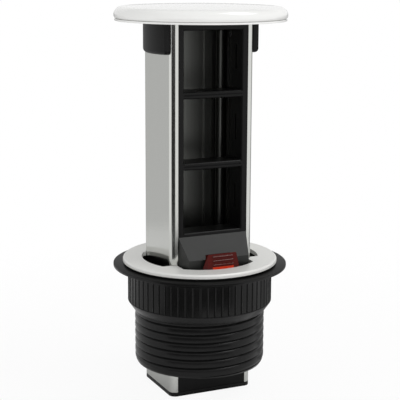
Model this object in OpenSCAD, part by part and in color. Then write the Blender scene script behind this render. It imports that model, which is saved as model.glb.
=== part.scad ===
// Pop up desk socket tower: a lidded tower with open module bays that slides up
// through a round collar clamped in a desk hole.
// Origin on the barrel axis at the desk top, +Z up, bays facing -Y, millimetres.
// Everything is drawn with the tower raised and the clamp nut screwed up.

/* [Tower] */
// Width of the aluminium profile
tower_w = 64.5; // [63:0.5:65]
// Depth of the aluminium profile
tower_d = 52.2; // [49:0.2:53]
// How far the profile's front face stands ahead of the barrel axis
tower_front = 22; // [21:0.5:22.5]
// Outside corner radius of the profile
tower_corner = 5; // [4.5:0.25:6]
// Wall thickness of the profile
tower_wall = 2; // [1.6:0.1:2.2]
// Length of profile left below the desk top when raised
tower_tail = 89.5; // [80:0.5:120]
// Thickness of the cap on the tower's lower end
base_t = 3; // [2.6:0.1:5]
// Bore of the cable outlet in the base
cable_d = 16; // [10:1:18]

/* [Module bays] */
// Number of bays, one above another
bay_count = 3; // [1:1:4]
// Width of profile and frame left on either side of a bay
bay_side = 9.75; // [9.5:0.25:12]
// Clear height of a bay
bay_h = 45.4; // [40:0.2:60]
// How much lower the top bay is
bay_top_less = 3; // [0:0.5:5]
// Height of the bar between two bays
bay_bar = 5.1; // [4.4:0.1:10]
// Depth of the tunnel behind a bay, from the tower's front
bay_depth = 18; // [12:0.5:24]
// Wall of the tunnel
bay_wall = 1.6; // [1.2:0.1:1.8]
// Frame above the top bay
frame_head = 5.8; // [4:0.2:12]

/* [Lid] */
// Diameter of the lid
lid_d = 124; // [118:0.5:128]
// Rounding of the lid's edge
lid_edge = 6.2; // [5:0.2:8]
// Height of the lid's side below the rounding's widest point
lid_skirt = 2.3; // [1.5:0.1:3.5]
// Rise of the lid's dome
lid_dome = 1.5; // [0.5:0.1:5]
// Wall of the lid
lid_wall = 2.4; // [1.6:0.1:2.6]
// Thickness of the rim plate under the lid
rim_t = 1.4; // [1.2:0.1:2]
// Gap between lid and bezel when the tower is pushed down
lid_gap = 0.5; // [0.3:0.1:2]
// Height of a side block
block_h = 22.4; // [18:0.2:30]
// Gap between a side block and the lobe of the opening that it fills
block_gap = 0.5; // [0.4:0.05:0.8]
// How far a side block's round face stays inside the opening
block_inset = 1.6; // [1:0.1:2]

/* [Collar] */
// How far the flange that rests on the desk stands out past the bezel
flange_rim = 7; // [5:0.2:18]
// Thickness of the flange
flange_t = 2; // [1.6:0.1:4]
// Width of the bezel outside its screws
bezel_rim = 5.8; // [5.6:0.1:8]
// Thickness of the bezel
bezel_t = 3; // [2.8:0.1:5]
// Shadow gap between flange and bezel
shadow_gap = 1.5; // [1.2:0.1:3]
// Room between the tower's corners and the round part of the opening
opening_room = 0.7; // [0.6:0.1:3]
// Width of the opening's side lobes round the side blocks
side_lobe = 39.6; // [39:0.2:41]
// How far short of the tower's round corners the side lobes end
lobe_short = 0.2; // [0.1:0.1:1]
// Width of the opening's front lobe
front_lobe = 55.2; // [54.8:0.1:55.6]

/* [Barrel and clamp nut] */
// Wall of the barrel at the crest of its screw thread
barrel_wall = 4.6; // [4.4:0.05:6]
// Pitch of the screw thread
thread_pitch = 6.2; // [5:0.1:8]
// Depth of the thread's groove
groove_depth = 1.4; // [0.8:0.1:1.6]
// Length of the barrel below the desk top
barrel_len = 73; // [66:0.5:80]
// Wall of the clamp nut
nut_wall = 4.85; // [4.5:0.05:8]
// Height of the clamp nut
nut_h = 30; // [24:0.2:36]
// Height of the bevel at the clamp nut's lower edge
nut_bevel = 6.2; // [4:0.2:9]
// Grip ribs round the clamp nut
nut_ribs = 64; // [40:4:72]
// Depth of the flutes between the ribs
rib_depth = 1; // [0.6:0.1:1.4]
// Thickness of the pressure washer
washer_t = 2; // [1.5:0.1:3]

/* [Release latch] */
// Height of the release housing above the bezel
housing_show = 20.3; // [18:0.1:24]
// Room ahead of the release housing for its button
button_room = 9.3; // [9:0.1:10.3]
// Travel of the release button
latch_travel = 2.6; // [2.4:0.1:2.8]
// Half width of the release button at its top edge
button_half = 10.6; // [10.2:0.1:11]
// How far the foot sits over its strike
latch_bite = 2.2; // [1.6:0.1:2.2]

/* [Fits] */
// Running gap between the tower and the bezel
tower_gap = 0.4; // [0.3:0.05:0.5]
// Running gap between the tower and the liner
liner_gap = 0.7; // [0.6:0.05:0.8]
// Gap between parts that move past each other
move_gap = 0.3; // [0.25:0.05:0.35]
// Gap between parts that are pushed together and stay
seat_gap = 0.05; // [0.02:0.01:0.1]

/* [Hidden] */
$fn = 96;
eps = 0.01;

// Colours of the pieces
c_white = "#F4F4F2";
c_alu = "#B9BAB6";
c_bezel = "#CFCFCC";
c_black = "#2A2A2B";
c_grey = "#4C4D4B";
c_red = "#A32114";
c_steel = "#9A9C9F";
c_nylon = "#E6E3D8";
c_rubber = "#1B1B1C";

// Plan of the tower
tw = tower_w / 2;
bay_w = tower_w - 2 * bay_side;
y_front = -tower_front;
y_back = tower_d - tower_front;
x_in = tw - tower_wall;
tower_reach = norm([tw - tower_corner, y_back - tower_corner]) + tower_corner;
lip_x = tw - tower_corner - 0.25;
slot_y = y_front + tower_wall;
slot_d = 3.2;
web_t = 1.5;
web_x = lip_x + 0.4;
port_r = 3.5;
port_front_r = 3;
port_bore = 1.75;
port_back = [x_in - 3.25, y_back - 7];
port_front = [x_in - 2.25, slot_y + slot_d + web_t + 4];
rail_x = [tw - 16.75, tw - 10.25];
rail_h = 1.2;
side_rib_in = 14.5;
side_rib_y = y_back - side_rib_in;
ports = [[-port_back[0], port_back[1]], port_back, [-port_front[0], port_front[1]], port_front];

// Heights, all above the desk top
bezel_z = flange_t + shadow_gap;
bezel_top = bezel_z + bezel_t;
housing_top = bezel_top + housing_show;
bay_z0 = housing_top + 2.6;
bay_top = bay_z0 + bay_count * bay_h + (bay_count - 1) * bay_bar - bay_top_less;
tower_top = bay_top + frame_head;
tower_bottom = -tower_tail;
lid_z = tower_top + rim_t;
travel = tower_top - bezel_top - lid_gap;
function bay_bottom(i) = bay_z0 + i * (bay_h + bay_bar);
function bay_height(i) = bay_h - (i == bay_count - 1 ? bay_top_less : 0);

// Front frame
frame_set = 0.3;
frame_face = y_front + frame_set;
frame_x = lip_x - 0.2;
frame_back = slot_y + slot_d - 0.2;
frame_bead = slot_y + 0.2;
frame_bead_x = x_in - move_gap;
frame_z = -15;

// Collar
opening_r = tower_reach + opening_room;
lobe_back = y_back - tower_corner - lobe_short;
liner_wall = 0.7;
bore_r = opening_r + liner_wall;
liner_r = bore_r - seat_gap;
liner_seat_w = 4;
liner_seat_r = bore_r + liner_seat_w;
bezel_screw_out = 3.5;
bezel_screw_r = liner_seat_r + bezel_screw_out;
bezel_r = bezel_screw_r + bezel_rim;
flange_r = bezel_r + flange_rim;
neck_r = bezel_screw_r + 3.4;
liner_seat_z = bezel_z - 2;
tab_drop = 8;
guide_drop = barrel_len - 1;
guide_wall = 2.4;
pad_w = 8;
pad_t = 1.4;
pad_x = 17;
pad_proud = liner_gap - move_gap;

// Barrel, washer and nut
thread_r = bore_r + barrel_wall;
thread_seg = 45;
thread_from = -barrel_len + 0.37;
thread_to = -4;
thread_turns = (thread_to - thread_from) / thread_pitch;
thread_angle = 197;
rib_angle = 245.9;
nut_bore_r = thread_r + 0.35;
nut_r = nut_bore_r + nut_wall;
seat_r = nut_r + 0.65;
seat_relief = 0.4;
washer_z = -move_gap;
nut_z = washer_z - washer_t;
nut_foot_r = nut_bore_r + 0.5;
flute_r = 2.3;
rib_top = nut_z - 1.8;
rib_bottom = nut_z - nut_h + nut_bevel + 0.5;

// Release latch
housing_front = button_room - opening_r;
housing_z = frame_z;
housing_knee = bezel_top + 5.4;
housing_half_top = frame_x;
housing_half_front = frame_x - 3.2;
wing_top = -tab_drop - 0.2;
wing_x = [tw - 12.25, tw - 1.25];
wing_y = y_front - 5;
housing_wall = 2.2;
stem_half = button_half - 0.8;
stem_z = [bezel_top - 7.5, bezel_top + 8];
collar_half = stem_half + 2.2;
collar_over = 2;
collar_z = [stem_z[0] - collar_over, stem_z[1] - 2 * collar_over];
stem_back = frame_face - latch_travel - move_gap;
pad_back = housing_front - latch_travel - move_gap;
reach_r = opening_r - 0.5;
foot_half = 8;
foot_tip = -sqrt(reach_r * reach_r - foot_half * foot_half);
foot_z = [bezel_z + 0.1, bezel_top - 0.4];
button_show = 10.1;
button_z = bezel_top + button_show;
button_face_top = pad_back - 1.8;
button_face_low = pad_back - 4;
keeper_t = 1.2;
keeper_half = 11;
keeper_y = foot_tip + latch_bite;
keeper_back = 0.6 - liner_seat_r;
spring_r = 3;
spring_wire = 0.4;
spring_turns = 6;
spring_y = [housing_front + 1.6, frame_face];
spring_z = bezel_top;

// Screws
screw_r = 1.7;
screw_head_r = 3.2;
screw_head_h = 2.2;
screw_len = 12;
small_r = 1.4;
small_head_r = 2.6;
small_head_h = 2;
lid_screw_in = 12;
lid_screw_r = lid_d / 2 - lid_screw_in;
lid_boss_h = 2.2;
lid_screw_len = 4.4;
lid_screw_angles = [90, 210, 330];
block_screw_y = [-3, 9];
block_screw_z = tower_top - block_h / 2 + 0.5;
block_screw_len = 7;
housing_screw_in = 4.1;
housing_screw_up = 7;
housing_screw_down = 9;
housing_screw_x = housing_half_front - housing_screw_in;
housing_screw_z = [housing_z + housing_screw_up, housing_top - housing_screw_down];
housing_screw_len = 8;
housing_screw_at = [for (x = [-housing_screw_x, housing_screw_x], z = housing_screw_z) [x, z]];
cable_y = 4;
cable_hole_r = cable_d / 2 + 3;

// A rectangle from corner a to corner b with rounded corners
module rounded(a, b, r) {
    translate([a[0] + r, a[1]])
        square([b[0] - a[0] - 2 * r, b[1] - a[1]]);
    translate([a[0], a[1] + r])
        square([b[0] - a[0], b[1] - a[1] - 2 * r]);
    for (x = [a[0] + r, b[0] - r], y = [a[1] + r, b[1] - r])
        translate([x, y])
            circle(r);
}

// A box from corner a to corner b
module box(a, b) {
    translate(a)
        cube(b - a);
}

// Outside of the tower, grown by a gap
module tower_plan(gap) {
    rounded([-tw - gap, y_front - gap], [tw + gap, y_back + gap], tower_corner + gap);
}

// The opening that the tower, its side blocks and the release housing pass through
module opening_plan(gap) {
    tower_plan(gap);
    intersection() {
        circle(opening_r);
        union() {
            translate([-opening_r, -side_lobe / 2])
                square([2 * opening_r, side_lobe / 2 + lobe_back]);
            translate([-front_lobe / 2, -opening_r])
                square([front_lobe, opening_r]);
        }
    }
}

// A pan head screw with its head below z = 0 and its shank rising from it
module pan_screw(r, length, head_r, head_h) {
    translate([0, 0, -head_h * 0.4])
        cylinder(r = r, h = length + head_h * 0.4);
    difference() {
        translate([0, 0, -head_h])
            cylinder(r = head_r, h = head_h);
        for (a = [0, 90])
            rotate(a)
                translate([-head_r * 0.6, -0.45, -head_h - eps])
                    cube([head_r * 1.2, 0.9, head_h * 0.5]);
    }
}

// Lid: an edge rounding, a shallow dome and a hollow underneath
module lid_section() {
    edge_x = lid_d / 2 - lid_edge;
    top = lid_skirt + lid_edge;
    dome_r = (edge_x * edge_x + lid_dome * lid_dome) / (2 * lid_dome);
    intersection() {
        square([lid_d, top + lid_dome + 1]);
        union() {
            square([edge_x, top]);
            translate([edge_x, lid_skirt])
                circle(lid_edge);
            intersection() {
                translate([0, top + lid_dome - dome_r])
                    circle(dome_r, $fn = 360);
                translate([0, top - eps])
                    square([edge_x, lid_dome + 1]);
            }
        }
    }
}

module lid_cover() {
    cavity = lid_skirt + lid_edge - lid_wall;
    color(c_white)
        translate([0, 0, lid_z])
            difference() {
                rotate_extrude($fn = 180)
                    lid_section();
                difference() {
                    translate([0, 0, -eps])
                        cylinder(r = lid_d / 2 - lid_edge, h = cavity + eps);
                    for (a = lid_screw_angles)
                        rotate(a)
                            translate([lid_screw_r, 0, lid_boss_h])
                                cylinder(r = 4, h = cavity);
                }
                for (a = lid_screw_angles)
                    rotate(a)
                        translate([lid_screw_r, 0, -eps])
                            cylinder(r = small_r + seat_gap, h = cavity - 0.6);
            }
}

module lid_base() {
    color(c_white)
        translate([0, 0, tower_top])
            difference() {
                union() {
                    cylinder(r = lid_d / 2 - 0.6, h = rim_t, $fn = 180);
                    for (a = lid_screw_angles)
                        rotate(a)
                            translate([lid_screw_r, 0, 0])
                                cylinder(r = 5, h = rim_t + lid_boss_h);
                }
                for (p = ports)
                    translate([p[0], p[1], -eps])
                        cylinder(r = screw_r + seat_gap, h = rim_t + 2 * eps);
                for (a = lid_screw_angles)
                    rotate(a)
                        translate([lid_screw_r, 0, -eps]) {
                            cylinder(r = small_r + seat_gap, h = rim_t + lid_boss_h + 1);
                            cylinder(r = small_head_r + 0.4, h = small_head_h + 0.3 + eps);
                        }
            }
}

// Aluminium U profile with front slots, screw ports and inner rails
module profile_plan() {
    difference() {
        union() {
            difference() {
                tower_plan(0);
                rounded([-x_in, slot_y], [x_in, y_back - tower_wall], tower_corner - tower_wall);
                translate([-x_in, slot_y])
                    square([2 * x_in, slot_d]);
            }
            for (s = [-1, 1]) {
                translate([s * (web_x + x_in + 0.5) / 2, slot_y + slot_d + web_t / 2])
                    square([x_in + 0.5 - web_x, web_t], center = true);
                translate([s * port_back[0], port_back[1]])
                    circle(port_r);
                translate([s * port_back[0], (port_back[1] + y_back) / 2 - 0.5])
                    square([2.4, y_back - port_back[1] - 1], center = true);
                translate([s * port_front[0], port_front[1]])
                    circle(port_front_r);
                translate([s * (rail_x[0] + rail_x[1]) / 2, y_back - tower_wall - rail_h / 2 + 0.25])
                    square([rail_x[1] - rail_x[0], rail_h + 0.5], center = true);
                translate([s * (x_in - 0.4), side_rib_y])
                    square([1.6, 1.5], center = true);
            }
        }
        translate([-lip_x, y_front - 1])
            square([2 * lip_x, tower_wall + 2]);
        for (p = ports)
            translate(p)
                circle(port_bore);
    }
}

module tower_profile() {
    color(c_alu)
        difference() {
            translate([0, 0, tower_bottom])
                linear_extrude(tower_top - tower_bottom)
                    profile_plan();
            for (s = [-1, 1], y = block_screw_y)
                translate([s * x_in, y, block_screw_z])
                    rotate([0, s * 90, 0])
                        translate([0, 0, -1])
                            cylinder(r = small_r + seat_gap, h = tower_wall + 2);
        }
}

// Plan of the frame and panel that slide into the profile's front slots
module front_plan() {
    translate([-frame_x, frame_face])
        square([2 * frame_x, frame_back - frame_face]);
    translate([-frame_bead_x, frame_bead])
        square([2 * frame_bead_x, frame_back - frame_bead]);
}

// Room inside one bay, with its front edges bevelled
module bay_room(z, h) {
    bevel = 0.8;
    box([-bay_w / 2, frame_face - 1, z], [bay_w / 2, y_front + bay_depth + 1, z + h]);
    for (s = [-1, 1])
        translate([s * bay_w / 2, frame_face, z - bevel])
            rotate(45)
                translate([-bevel / sqrt(2), -bevel / sqrt(2), 0])
                    cube([bevel * sqrt(2), bevel * sqrt(2), h + 2 * bevel]);
    for (e = [z, z + h])
        translate([-bay_w / 2 - bevel, frame_face, e])
            rotate([45, 0, 0])
                translate([0, -bevel / sqrt(2), -bevel / sqrt(2)])
                    cube([bay_w + 2 * bevel, bevel * sqrt(2), bevel * sqrt(2)]);
}

module module_frame() {
    tunnel_x = bay_w / 2 + bay_wall;
    color(c_black)
        difference() {
            union() {
                translate([0, 0, frame_z])
                    linear_extrude(tower_top - frame_z)
                        front_plan();
                for (i = [0 : bay_count - 1])
                    box([-tunnel_x, frame_bead, bay_bottom(i) - bay_wall],
                        [tunnel_x, y_front + bay_depth, bay_bottom(i) + bay_height(i) + bay_wall]);
            }
            for (i = [0 : bay_count - 1]) {
                bay_room(bay_bottom(i), bay_height(i));
                for (s = [-1, 1])
                    box([s * (bay_w / 2 + bay_wall / 2) - bay_wall, frame_back + 4, bay_bottom(i) + bay_h / 2 - 9],
                        [s * (bay_w / 2 + bay_wall / 2) + bay_wall, frame_back + 7, bay_bottom(i) + bay_h / 2 + 9]);
            }
            for (i = [1 : 1 : bay_count - 1])
                box([-bay_w / 2, frame_face - 1, bay_bottom(i) - bay_bar / 2 - 0.3],
                    [bay_w / 2, frame_face + 0.5, bay_bottom(i) - bay_bar / 2 + 0.3]);
            for (p = housing_screw_at)
                translate([p[0], frame_back + 1, p[1]])
                    rotate([90, 0, 0])
                        cylinder(r = small_r + seat_gap, h = 10);
        }
}

module lower_panel() {
    color(c_black)
        translate([0, 0, tower_bottom])
            linear_extrude(frame_z - tower_bottom)
                front_plan();
}

// Block under the lid that fills a side lobe when the tower is down
module side_block(s) {
    low = 3;
    half = side_lobe / 2 - block_gap;
    foot = tower_top - block_h;
    reach = opening_r - block_inset;
    edge = [for (a = [-90 : 15 : 0]) [reach - low + low * cos(a), foot + low + low * sin(a)]];
    color(c_black)
        difference() {
            intersection() {
                rotate_extrude($fn = 180)
                    polygon(concat([[0, foot]], edge, [[reach, tower_top], [0, tower_top]]));
                rotate([90, 0, 90])
                    translate([0, 0, s > 0 ? tw : -opening_r])
                        linear_extrude(opening_r - tw)
                            rounded([-half, foot], [half, tower_top + 2 * low], low);
            }
            for (y = block_screw_y)
                translate([s * tw, y, block_screw_z])
                    rotate([0, s * 90, 0])
                        translate([0, 0, -1])
                            cylinder(r = small_r + seat_gap, h = block_screw_len - tower_wall + 1.5);
        }
}

module side_block_left() {
    side_block(-1);
}

module side_block_right() {
    side_block(1);
}

// Wedge that carries the release button, with stop wings at its foot
module housing_body() {
    intersection() {
        rotate([90, 0, 90])
            translate([0, 0, -tw])
                linear_extrude(2 * tw)
                    polygon([[frame_face, housing_z], [housing_front, housing_z], [housing_front, housing_knee],
                        [y_front, housing_top], [frame_face, housing_top]]);
        translate([0, 0, housing_z - 1])
            linear_extrude(housing_top - housing_z + 2)
                polygon([[-housing_half_top, frame_face], [-housing_half_top, y_front],
                    [-housing_half_front, housing_front], [housing_half_front, housing_front],
                    [housing_half_top, y_front], [housing_half_top, frame_face]]);
    }
    for (s = [-1, 1])
        translate([s * (wing_x[0] + wing_x[1]) / 2, 0, 0])
            box([(wing_x[0] - wing_x[1]) / 2, wing_y, housing_z],
                [(wing_x[1] - wing_x[0]) / 2, y_front - 0.1, wing_top]);
}

module release_housing() {
    slot_half = stem_half + move_gap;
    room_half = collar_half + move_gap;
    color(c_grey)
        difference() {
            housing_body();
            box([-room_half, housing_front + housing_wall, collar_z[0] - move_gap],
                [room_half, frame_face + 1, collar_z[1] + move_gap]);
            box([-slot_half, 2 * housing_front, stem_z[0] - move_gap],
                [slot_half, frame_face + 1, stem_z[1] + move_gap]);
            for (p = housing_screw_at)
                translate([p[0], frame_face + 1, p[1]])
                    rotate([90, 0, 0])
                        cylinder(r = small_r + seat_gap, h = housing_screw_len - 2);
        }
}

// Red latch: thumb pad with grip ribs, foot, guided stem and stop collar
module release_button() {
    flare = 4.4;
    color(c_red)
        difference() {
            union() {
                intersection() {
                    rotate([90, 0, 90])
                        translate([0, 0, -reach_r])
                            linear_extrude(2 * reach_r)
                                polygon([[pad_back, foot_z[1] - 0.3], [button_face_low, foot_z[1] - 0.3],
                                    [button_face_top, button_z], [pad_back, button_z - 0.6]]);
                    rotate([90, 0, 0])
                        linear_extrude(2 * reach_r)
                            polygon([[-button_half, button_z + 1], [-button_half - flare, foot_z[1] - 1],
                                [button_half + flare, foot_z[1] - 1], [button_half, button_z + 1]]);
                    translate([0, 0, foot_z[0]])
                        cylinder(r = reach_r, h = 2 * reach_r);
                }
                for (k = [0 : 2])
                    box([-button_half + 1.6, button_face_low + 0.55 * k, foot_z[1] + 1.4 + 2.7 * k],
                        [button_half - 1.6, pad_back, foot_z[1] + 2.5 + 2.7 * k]);
                box([-foot_half, foot_tip, foot_z[0]], [foot_half, pad_back + eps, foot_z[1]]);
                box([-stem_half, pad_back - 1, stem_z[0]], [stem_half, stem_back, stem_z[1]]);
                box([-collar_half, housing_front + housing_wall + move_gap, collar_z[0]],
                    [collar_half, stem_back, collar_z[1]]);
            }
            translate([0, stem_back + 1, spring_z])
                rotate([90, 0, 0])
                    cylinder(r = spring_r + spring_wire + move_gap, h = stem_back + 1 - spring_y[0]);
        }
}

// Closed tube through rings of points, all rings having the same count
module tube(rings) {
    n = len(rings);
    m = len(rings[0]);
    sides = [for (i = [0 : n - 2], j = [0 : m - 1], t = [0, 1])
        t == 0 ? [i * m + j, i * m + (j + 1) % m, (i + 1) * m + j]
            : [i * m + (j + 1) % m, (i + 1) * m + (j + 1) % m, (i + 1) * m + j]];
    polyhedron([for (r = rings) each r],
        concat(sides, [[for (j = [m - 1 : -1 : 0]) j]], [[for (j = [0 : m - 1]) (n - 1) * m + j]]));
}

// Return spring of the latch, a helical wire along Y
module latch_spring() {
    y0 = spring_y[0] + spring_wire + 0.05;
    y1 = spring_y[1] - spring_wire - 0.05;
    steps = spring_turns * 10;
    rings = [for (i = [0 : steps])
        let (a = 36 * i, y = y0 + (y1 - y0) * i / steps)
        [for (j = [0 : 5])
            let (r = spring_r + spring_wire * cos(60 * j))
            [r * cos(a), y + spring_wire * sin(60 * j), spring_z + r * sin(a)]]];
    gaps = [for (i = [0 : steps - 10], k = [5 : 10], p = rings[i], q = rings[i + k]) norm(p - q)];
    echo(spring_self_gap = min(gaps));
    color(c_steel)
        tube(rings);
}

// Steel strike under the latch foot, held between liner and bezel
module latch_keeper() {
    color(c_steel)
        intersection() {
            box([-keeper_half, keeper_back, bezel_z - keeper_t], [keeper_half, keeper_y, bezel_z]);
            cylinder(r = liner_seat_r - 0.3, h = bezel_z + keeper_t);
        }
}

module bezel_ring() {
    edge = 1.6;
    color(c_bezel)
        difference() {
            translate([0, 0, bezel_z])
                rotate_extrude($fn = 180) {
                    square([bezel_r - edge, bezel_t]);
                    square([bezel_r, bezel_t - edge]);
                    translate([bezel_r - edge, bezel_t - edge])
                        circle(edge);
                }
            translate([0, 0, bezel_z - 1])
                linear_extrude(bezel_t + 2)
                    opening_plan(tower_gap);
            for (a = [45 : 90 : 315])
                rotate(a)
                    translate([bezel_screw_r, 0, bezel_z - eps])
                        cylinder(r = small_r + seat_gap, h = bezel_t - 0.8);
        }
}

// Cutter that follows the thread's helix and fades out at both ends
module thread_groove() {
    steps = floor(thread_turns * thread_seg);
    fade = 6;
    rings = [for (i = [0 : steps])
        let (a = thread_angle + 360 * i / thread_seg,
            z = thread_from + thread_pitch * i / thread_seg,
            f = min(1, i / fade, (steps - i) / fade),
            r = thread_r + 0.1 - (groove_depth + 0.1) * f)
        [for (p = [[0, -0.15], [groove_depth * 0.75, -0.45], [groove_depth + 0.4, -1.25],
                [groove_depth + 0.4, 1.25], [groove_depth * 0.75, 0.45], [0, 0.15]])
            [(r + p[0]) * cos(a), (r + p[0]) * sin(a), z + p[1]]]];
    tube(rings);
}

module mounting_barrel() {
    color(c_black)
        difference() {
            rotate_extrude($fn = 180)
                polygon([[bore_r, -barrel_len], [thread_r - 1.7, -barrel_len], [thread_r - 0.8, -barrel_len + 1.4],
                    [thread_r, -barrel_len + 4.5], [thread_r, seat_relief], [seat_r, seat_relief], [seat_r, 0],
                    [flange_r - 0.5, 0], [flange_r, 0.5],
                    [flange_r, flange_t - 0.5], [flange_r - 0.5, flange_t],
                    [neck_r, flange_t], [neck_r, bezel_z], [liner_seat_r + seat_gap, bezel_z],
                    [liner_seat_r + seat_gap, liner_seat_z], [bore_r, liner_seat_z]]);
            thread_groove();
            for (a = [45 : 90 : 315])
                rotate(a)
                    translate([bezel_screw_r, 0, -eps]) {
                        cylinder(r = small_r + seat_gap, h = bezel_z + 1);
                        cylinder(r = small_head_r + 0.1, h = small_head_h + eps);
                    }
        }
}

// Part of the barrel's bore left round the opening
module liner_plan() {
    difference() {
        circle(liner_r);
        opening_plan(liner_gap);
    }
}

module guide_liner() {
    guide_y = y_back + liner_gap;
    color(c_black)
        difference() {
            union() {
                translate([0, 0, liner_seat_z])
                    linear_extrude(bezel_z - liner_seat_z)
                        difference() {
                            circle(liner_seat_r);
                            opening_plan(liner_gap);
                        }
                translate([0, 0, -tab_drop])
                    linear_extrude(liner_seat_z + tab_drop + eps)
                        intersection() {
                            liner_plan();
                            translate([-bore_r, -bore_r])
                                square([2 * bore_r, bore_r]);
                        }
                translate([0, 0, -guide_drop])
                    linear_extrude(liner_seat_z + guide_drop + eps)
                        intersection() {
                            liner_plan();
                            translate([-bore_r, 0])
                                square([2 * bore_r, bore_r]);
                        }
            }
            translate([0, 0, -guide_drop - 1])
                linear_extrude(guide_drop - 1)
                    difference() {
                        intersection() {
                            circle(liner_r - 2);
                            translate([-bore_r, guide_y + guide_wall])
                                square([2 * bore_r, bore_r]);
                        }
                        for (x = [-8, 8])
                            translate([x - 1, 0])
                                square([2, bore_r]);
                    }
            for (s = [-1, 1])
                box([s * pad_x - pad_w / 2, guide_y - 1, -guide_drop + 6],
                    [s * pad_x + pad_w / 2, guide_y + pad_t - pad_proud, -6]);
            box([-keeper_half - 0.1, keeper_back - 2, bezel_z - keeper_t],
                [keeper_half + 0.1, 0, bezel_z + 1]);
        }
}

module glide_pads() {
    guide_y = y_back + liner_gap;
    color(c_nylon)
        for (s = [-1, 1])
            box([s * pad_x - pad_w / 2 + seat_gap, guide_y - pad_proud, -guide_drop + 6 + seat_gap],
                [s * pad_x + pad_w / 2 - seat_gap, guide_y + pad_t - pad_proud, -6 - seat_gap]);
}

module clamp_washer() {
    color(c_nylon)
        translate([0, 0, washer_z - washer_t])
            difference() {
                cylinder(r = nut_r, h = washer_t, $fn = 180);
                translate([0, 0, -1])
                    cylinder(r = nut_bore_r, h = washer_t + 2, $fn = 180);
            }
}

// Half section of the clamp nut with its bevelled lower edge
module nut_section() {
    low = nut_z - nut_h;
    polygon([[nut_bore_r, low], [nut_foot_r, low], [nut_r, low + nut_bevel], [nut_r, nut_z], [nut_bore_r, nut_z]]);
}

module clamp_nut() {
    color(c_black)
        difference() {
            rotate_extrude($fn = 180)
                nut_section();
            for (k = [0 : nut_ribs - 1])
                rotate(rib_angle + 360 * (k + 0.5) / nut_ribs)
                    translate([nut_r + flute_r - rib_depth, 0, rib_bottom])
                        cylinder(r = flute_r, h = rib_top - rib_bottom, $fn = 24);
        }
}

module base_cap() {
    rim_x = port_front[0] - port_front_r - 2;
    rim_y = [slot_y + slot_d + web_t + 2.3, y_back - tower_wall - 3.4];
    rim_h = 5;
    rim_wall = 2;
    color(c_black)
        difference() {
            union() {
                translate([0, 0, tower_bottom - base_t])
                    linear_extrude(base_t)
                        tower_plan(0);
                box([-rim_x, rim_y[0], tower_bottom - eps], [rim_x, rim_y[1], tower_bottom + rim_h]);
            }
            box([-rim_x + rim_wall, rim_y[0] + rim_wall, tower_bottom],
                [rim_x - rim_wall, rim_y[1] - rim_wall, tower_bottom + rim_h + 1]);
            translate([0, cable_y, tower_bottom - base_t - 1])
                cylinder(r = cable_hole_r, h = base_t + 2);
            for (p = ports)
                translate([p[0], p[1], tower_bottom - base_t - eps]) {
                    cylinder(r = screw_r + seat_gap, h = base_t + 1);
                    cylinder(r = screw_head_r + 0.2, h = screw_head_h + eps);
                }
        }
}

module cable_grommet() {
    color(c_rubber)
        translate([0, cable_y, tower_bottom - base_t])
            difference() {
                union() {
                    cylinder(r = cable_hole_r - seat_gap, h = base_t);
                    translate([0, 0, -1.2])
                        cylinder(r = cable_hole_r + 2, h = 1.2);
                    translate([0, 0, base_t])
                        cylinder(r = cable_hole_r + 2, h = 1.2);
                }
                translate([0, 0, -2])
                    cylinder(r = cable_d / 2, h = base_t + 4);
            }
}

module profile_screws() {
    color(c_steel)
        for (p = ports) {
            translate([p[0], p[1], lid_z])
                mirror([0, 0, 1])
                    pan_screw(screw_r, screw_len, screw_head_r, screw_head_h);
            translate([p[0], p[1], tower_bottom - base_t + screw_head_h])
                pan_screw(screw_r, screw_len, screw_head_r, screw_head_h);
        }
}

module lid_screws() {
    color(c_steel)
        for (a = lid_screw_angles)
            rotate(a)
                translate([lid_screw_r, 0, tower_top + small_head_h + 0.3])
                    pan_screw(small_r, lid_screw_len, small_head_r, small_head_h);
}

module block_screws() {
    color(c_steel)
        for (s = [-1, 1], y = block_screw_y)
            translate([s * x_in, y, block_screw_z])
                rotate([0, s * 90, 0])
                    pan_screw(small_r, block_screw_len, small_head_r, small_head_h);
}

module housing_screws() {
    color(c_steel)
        for (p = housing_screw_at)
            translate([p[0], frame_back, p[1]])
                rotate([90, 0, 0])
                    pan_screw(small_r, housing_screw_len, small_head_r, small_head_h);
}

module bezel_screws() {
    color(c_steel)
        for (a = [45 : 90 : 315])
            rotate(a)
                translate([bezel_screw_r, 0, small_head_h])
                    pan_screw(small_r, bezel_z + bezel_t - 1.2 - small_head_h, small_head_r, small_head_h);
}

lid_cover();
lid_base();
tower_profile();
module_frame();
lower_panel();
side_block_left();
side_block_right();
release_housing();
release_button();
latch_spring();
latch_keeper();
bezel_ring();
mounting_barrel();
guide_liner();
glide_pads();
clamp_washer();
clamp_nut();
base_cap();
cable_grommet();
profile_screws();
lid_screws();
block_screws();
housing_screws();
bezel_screws();
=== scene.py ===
"""Looks of a pop up desk socket: a lidded aluminium tower in a threaded desk collar.

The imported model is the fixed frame. Each sub-assembly is a class that builds its pieces
in that frame, dresses them and hands them to the bodies that they move with.
"""

import logging
import math
from abc import ABC, abstractmethod
from dataclasses import dataclass
from enum import Enum
from typing import Any, Callable, Mapping, Optional, Sequence

import bmesh
import bpy
from mathutils import Euler, Matrix, Vector


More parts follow.
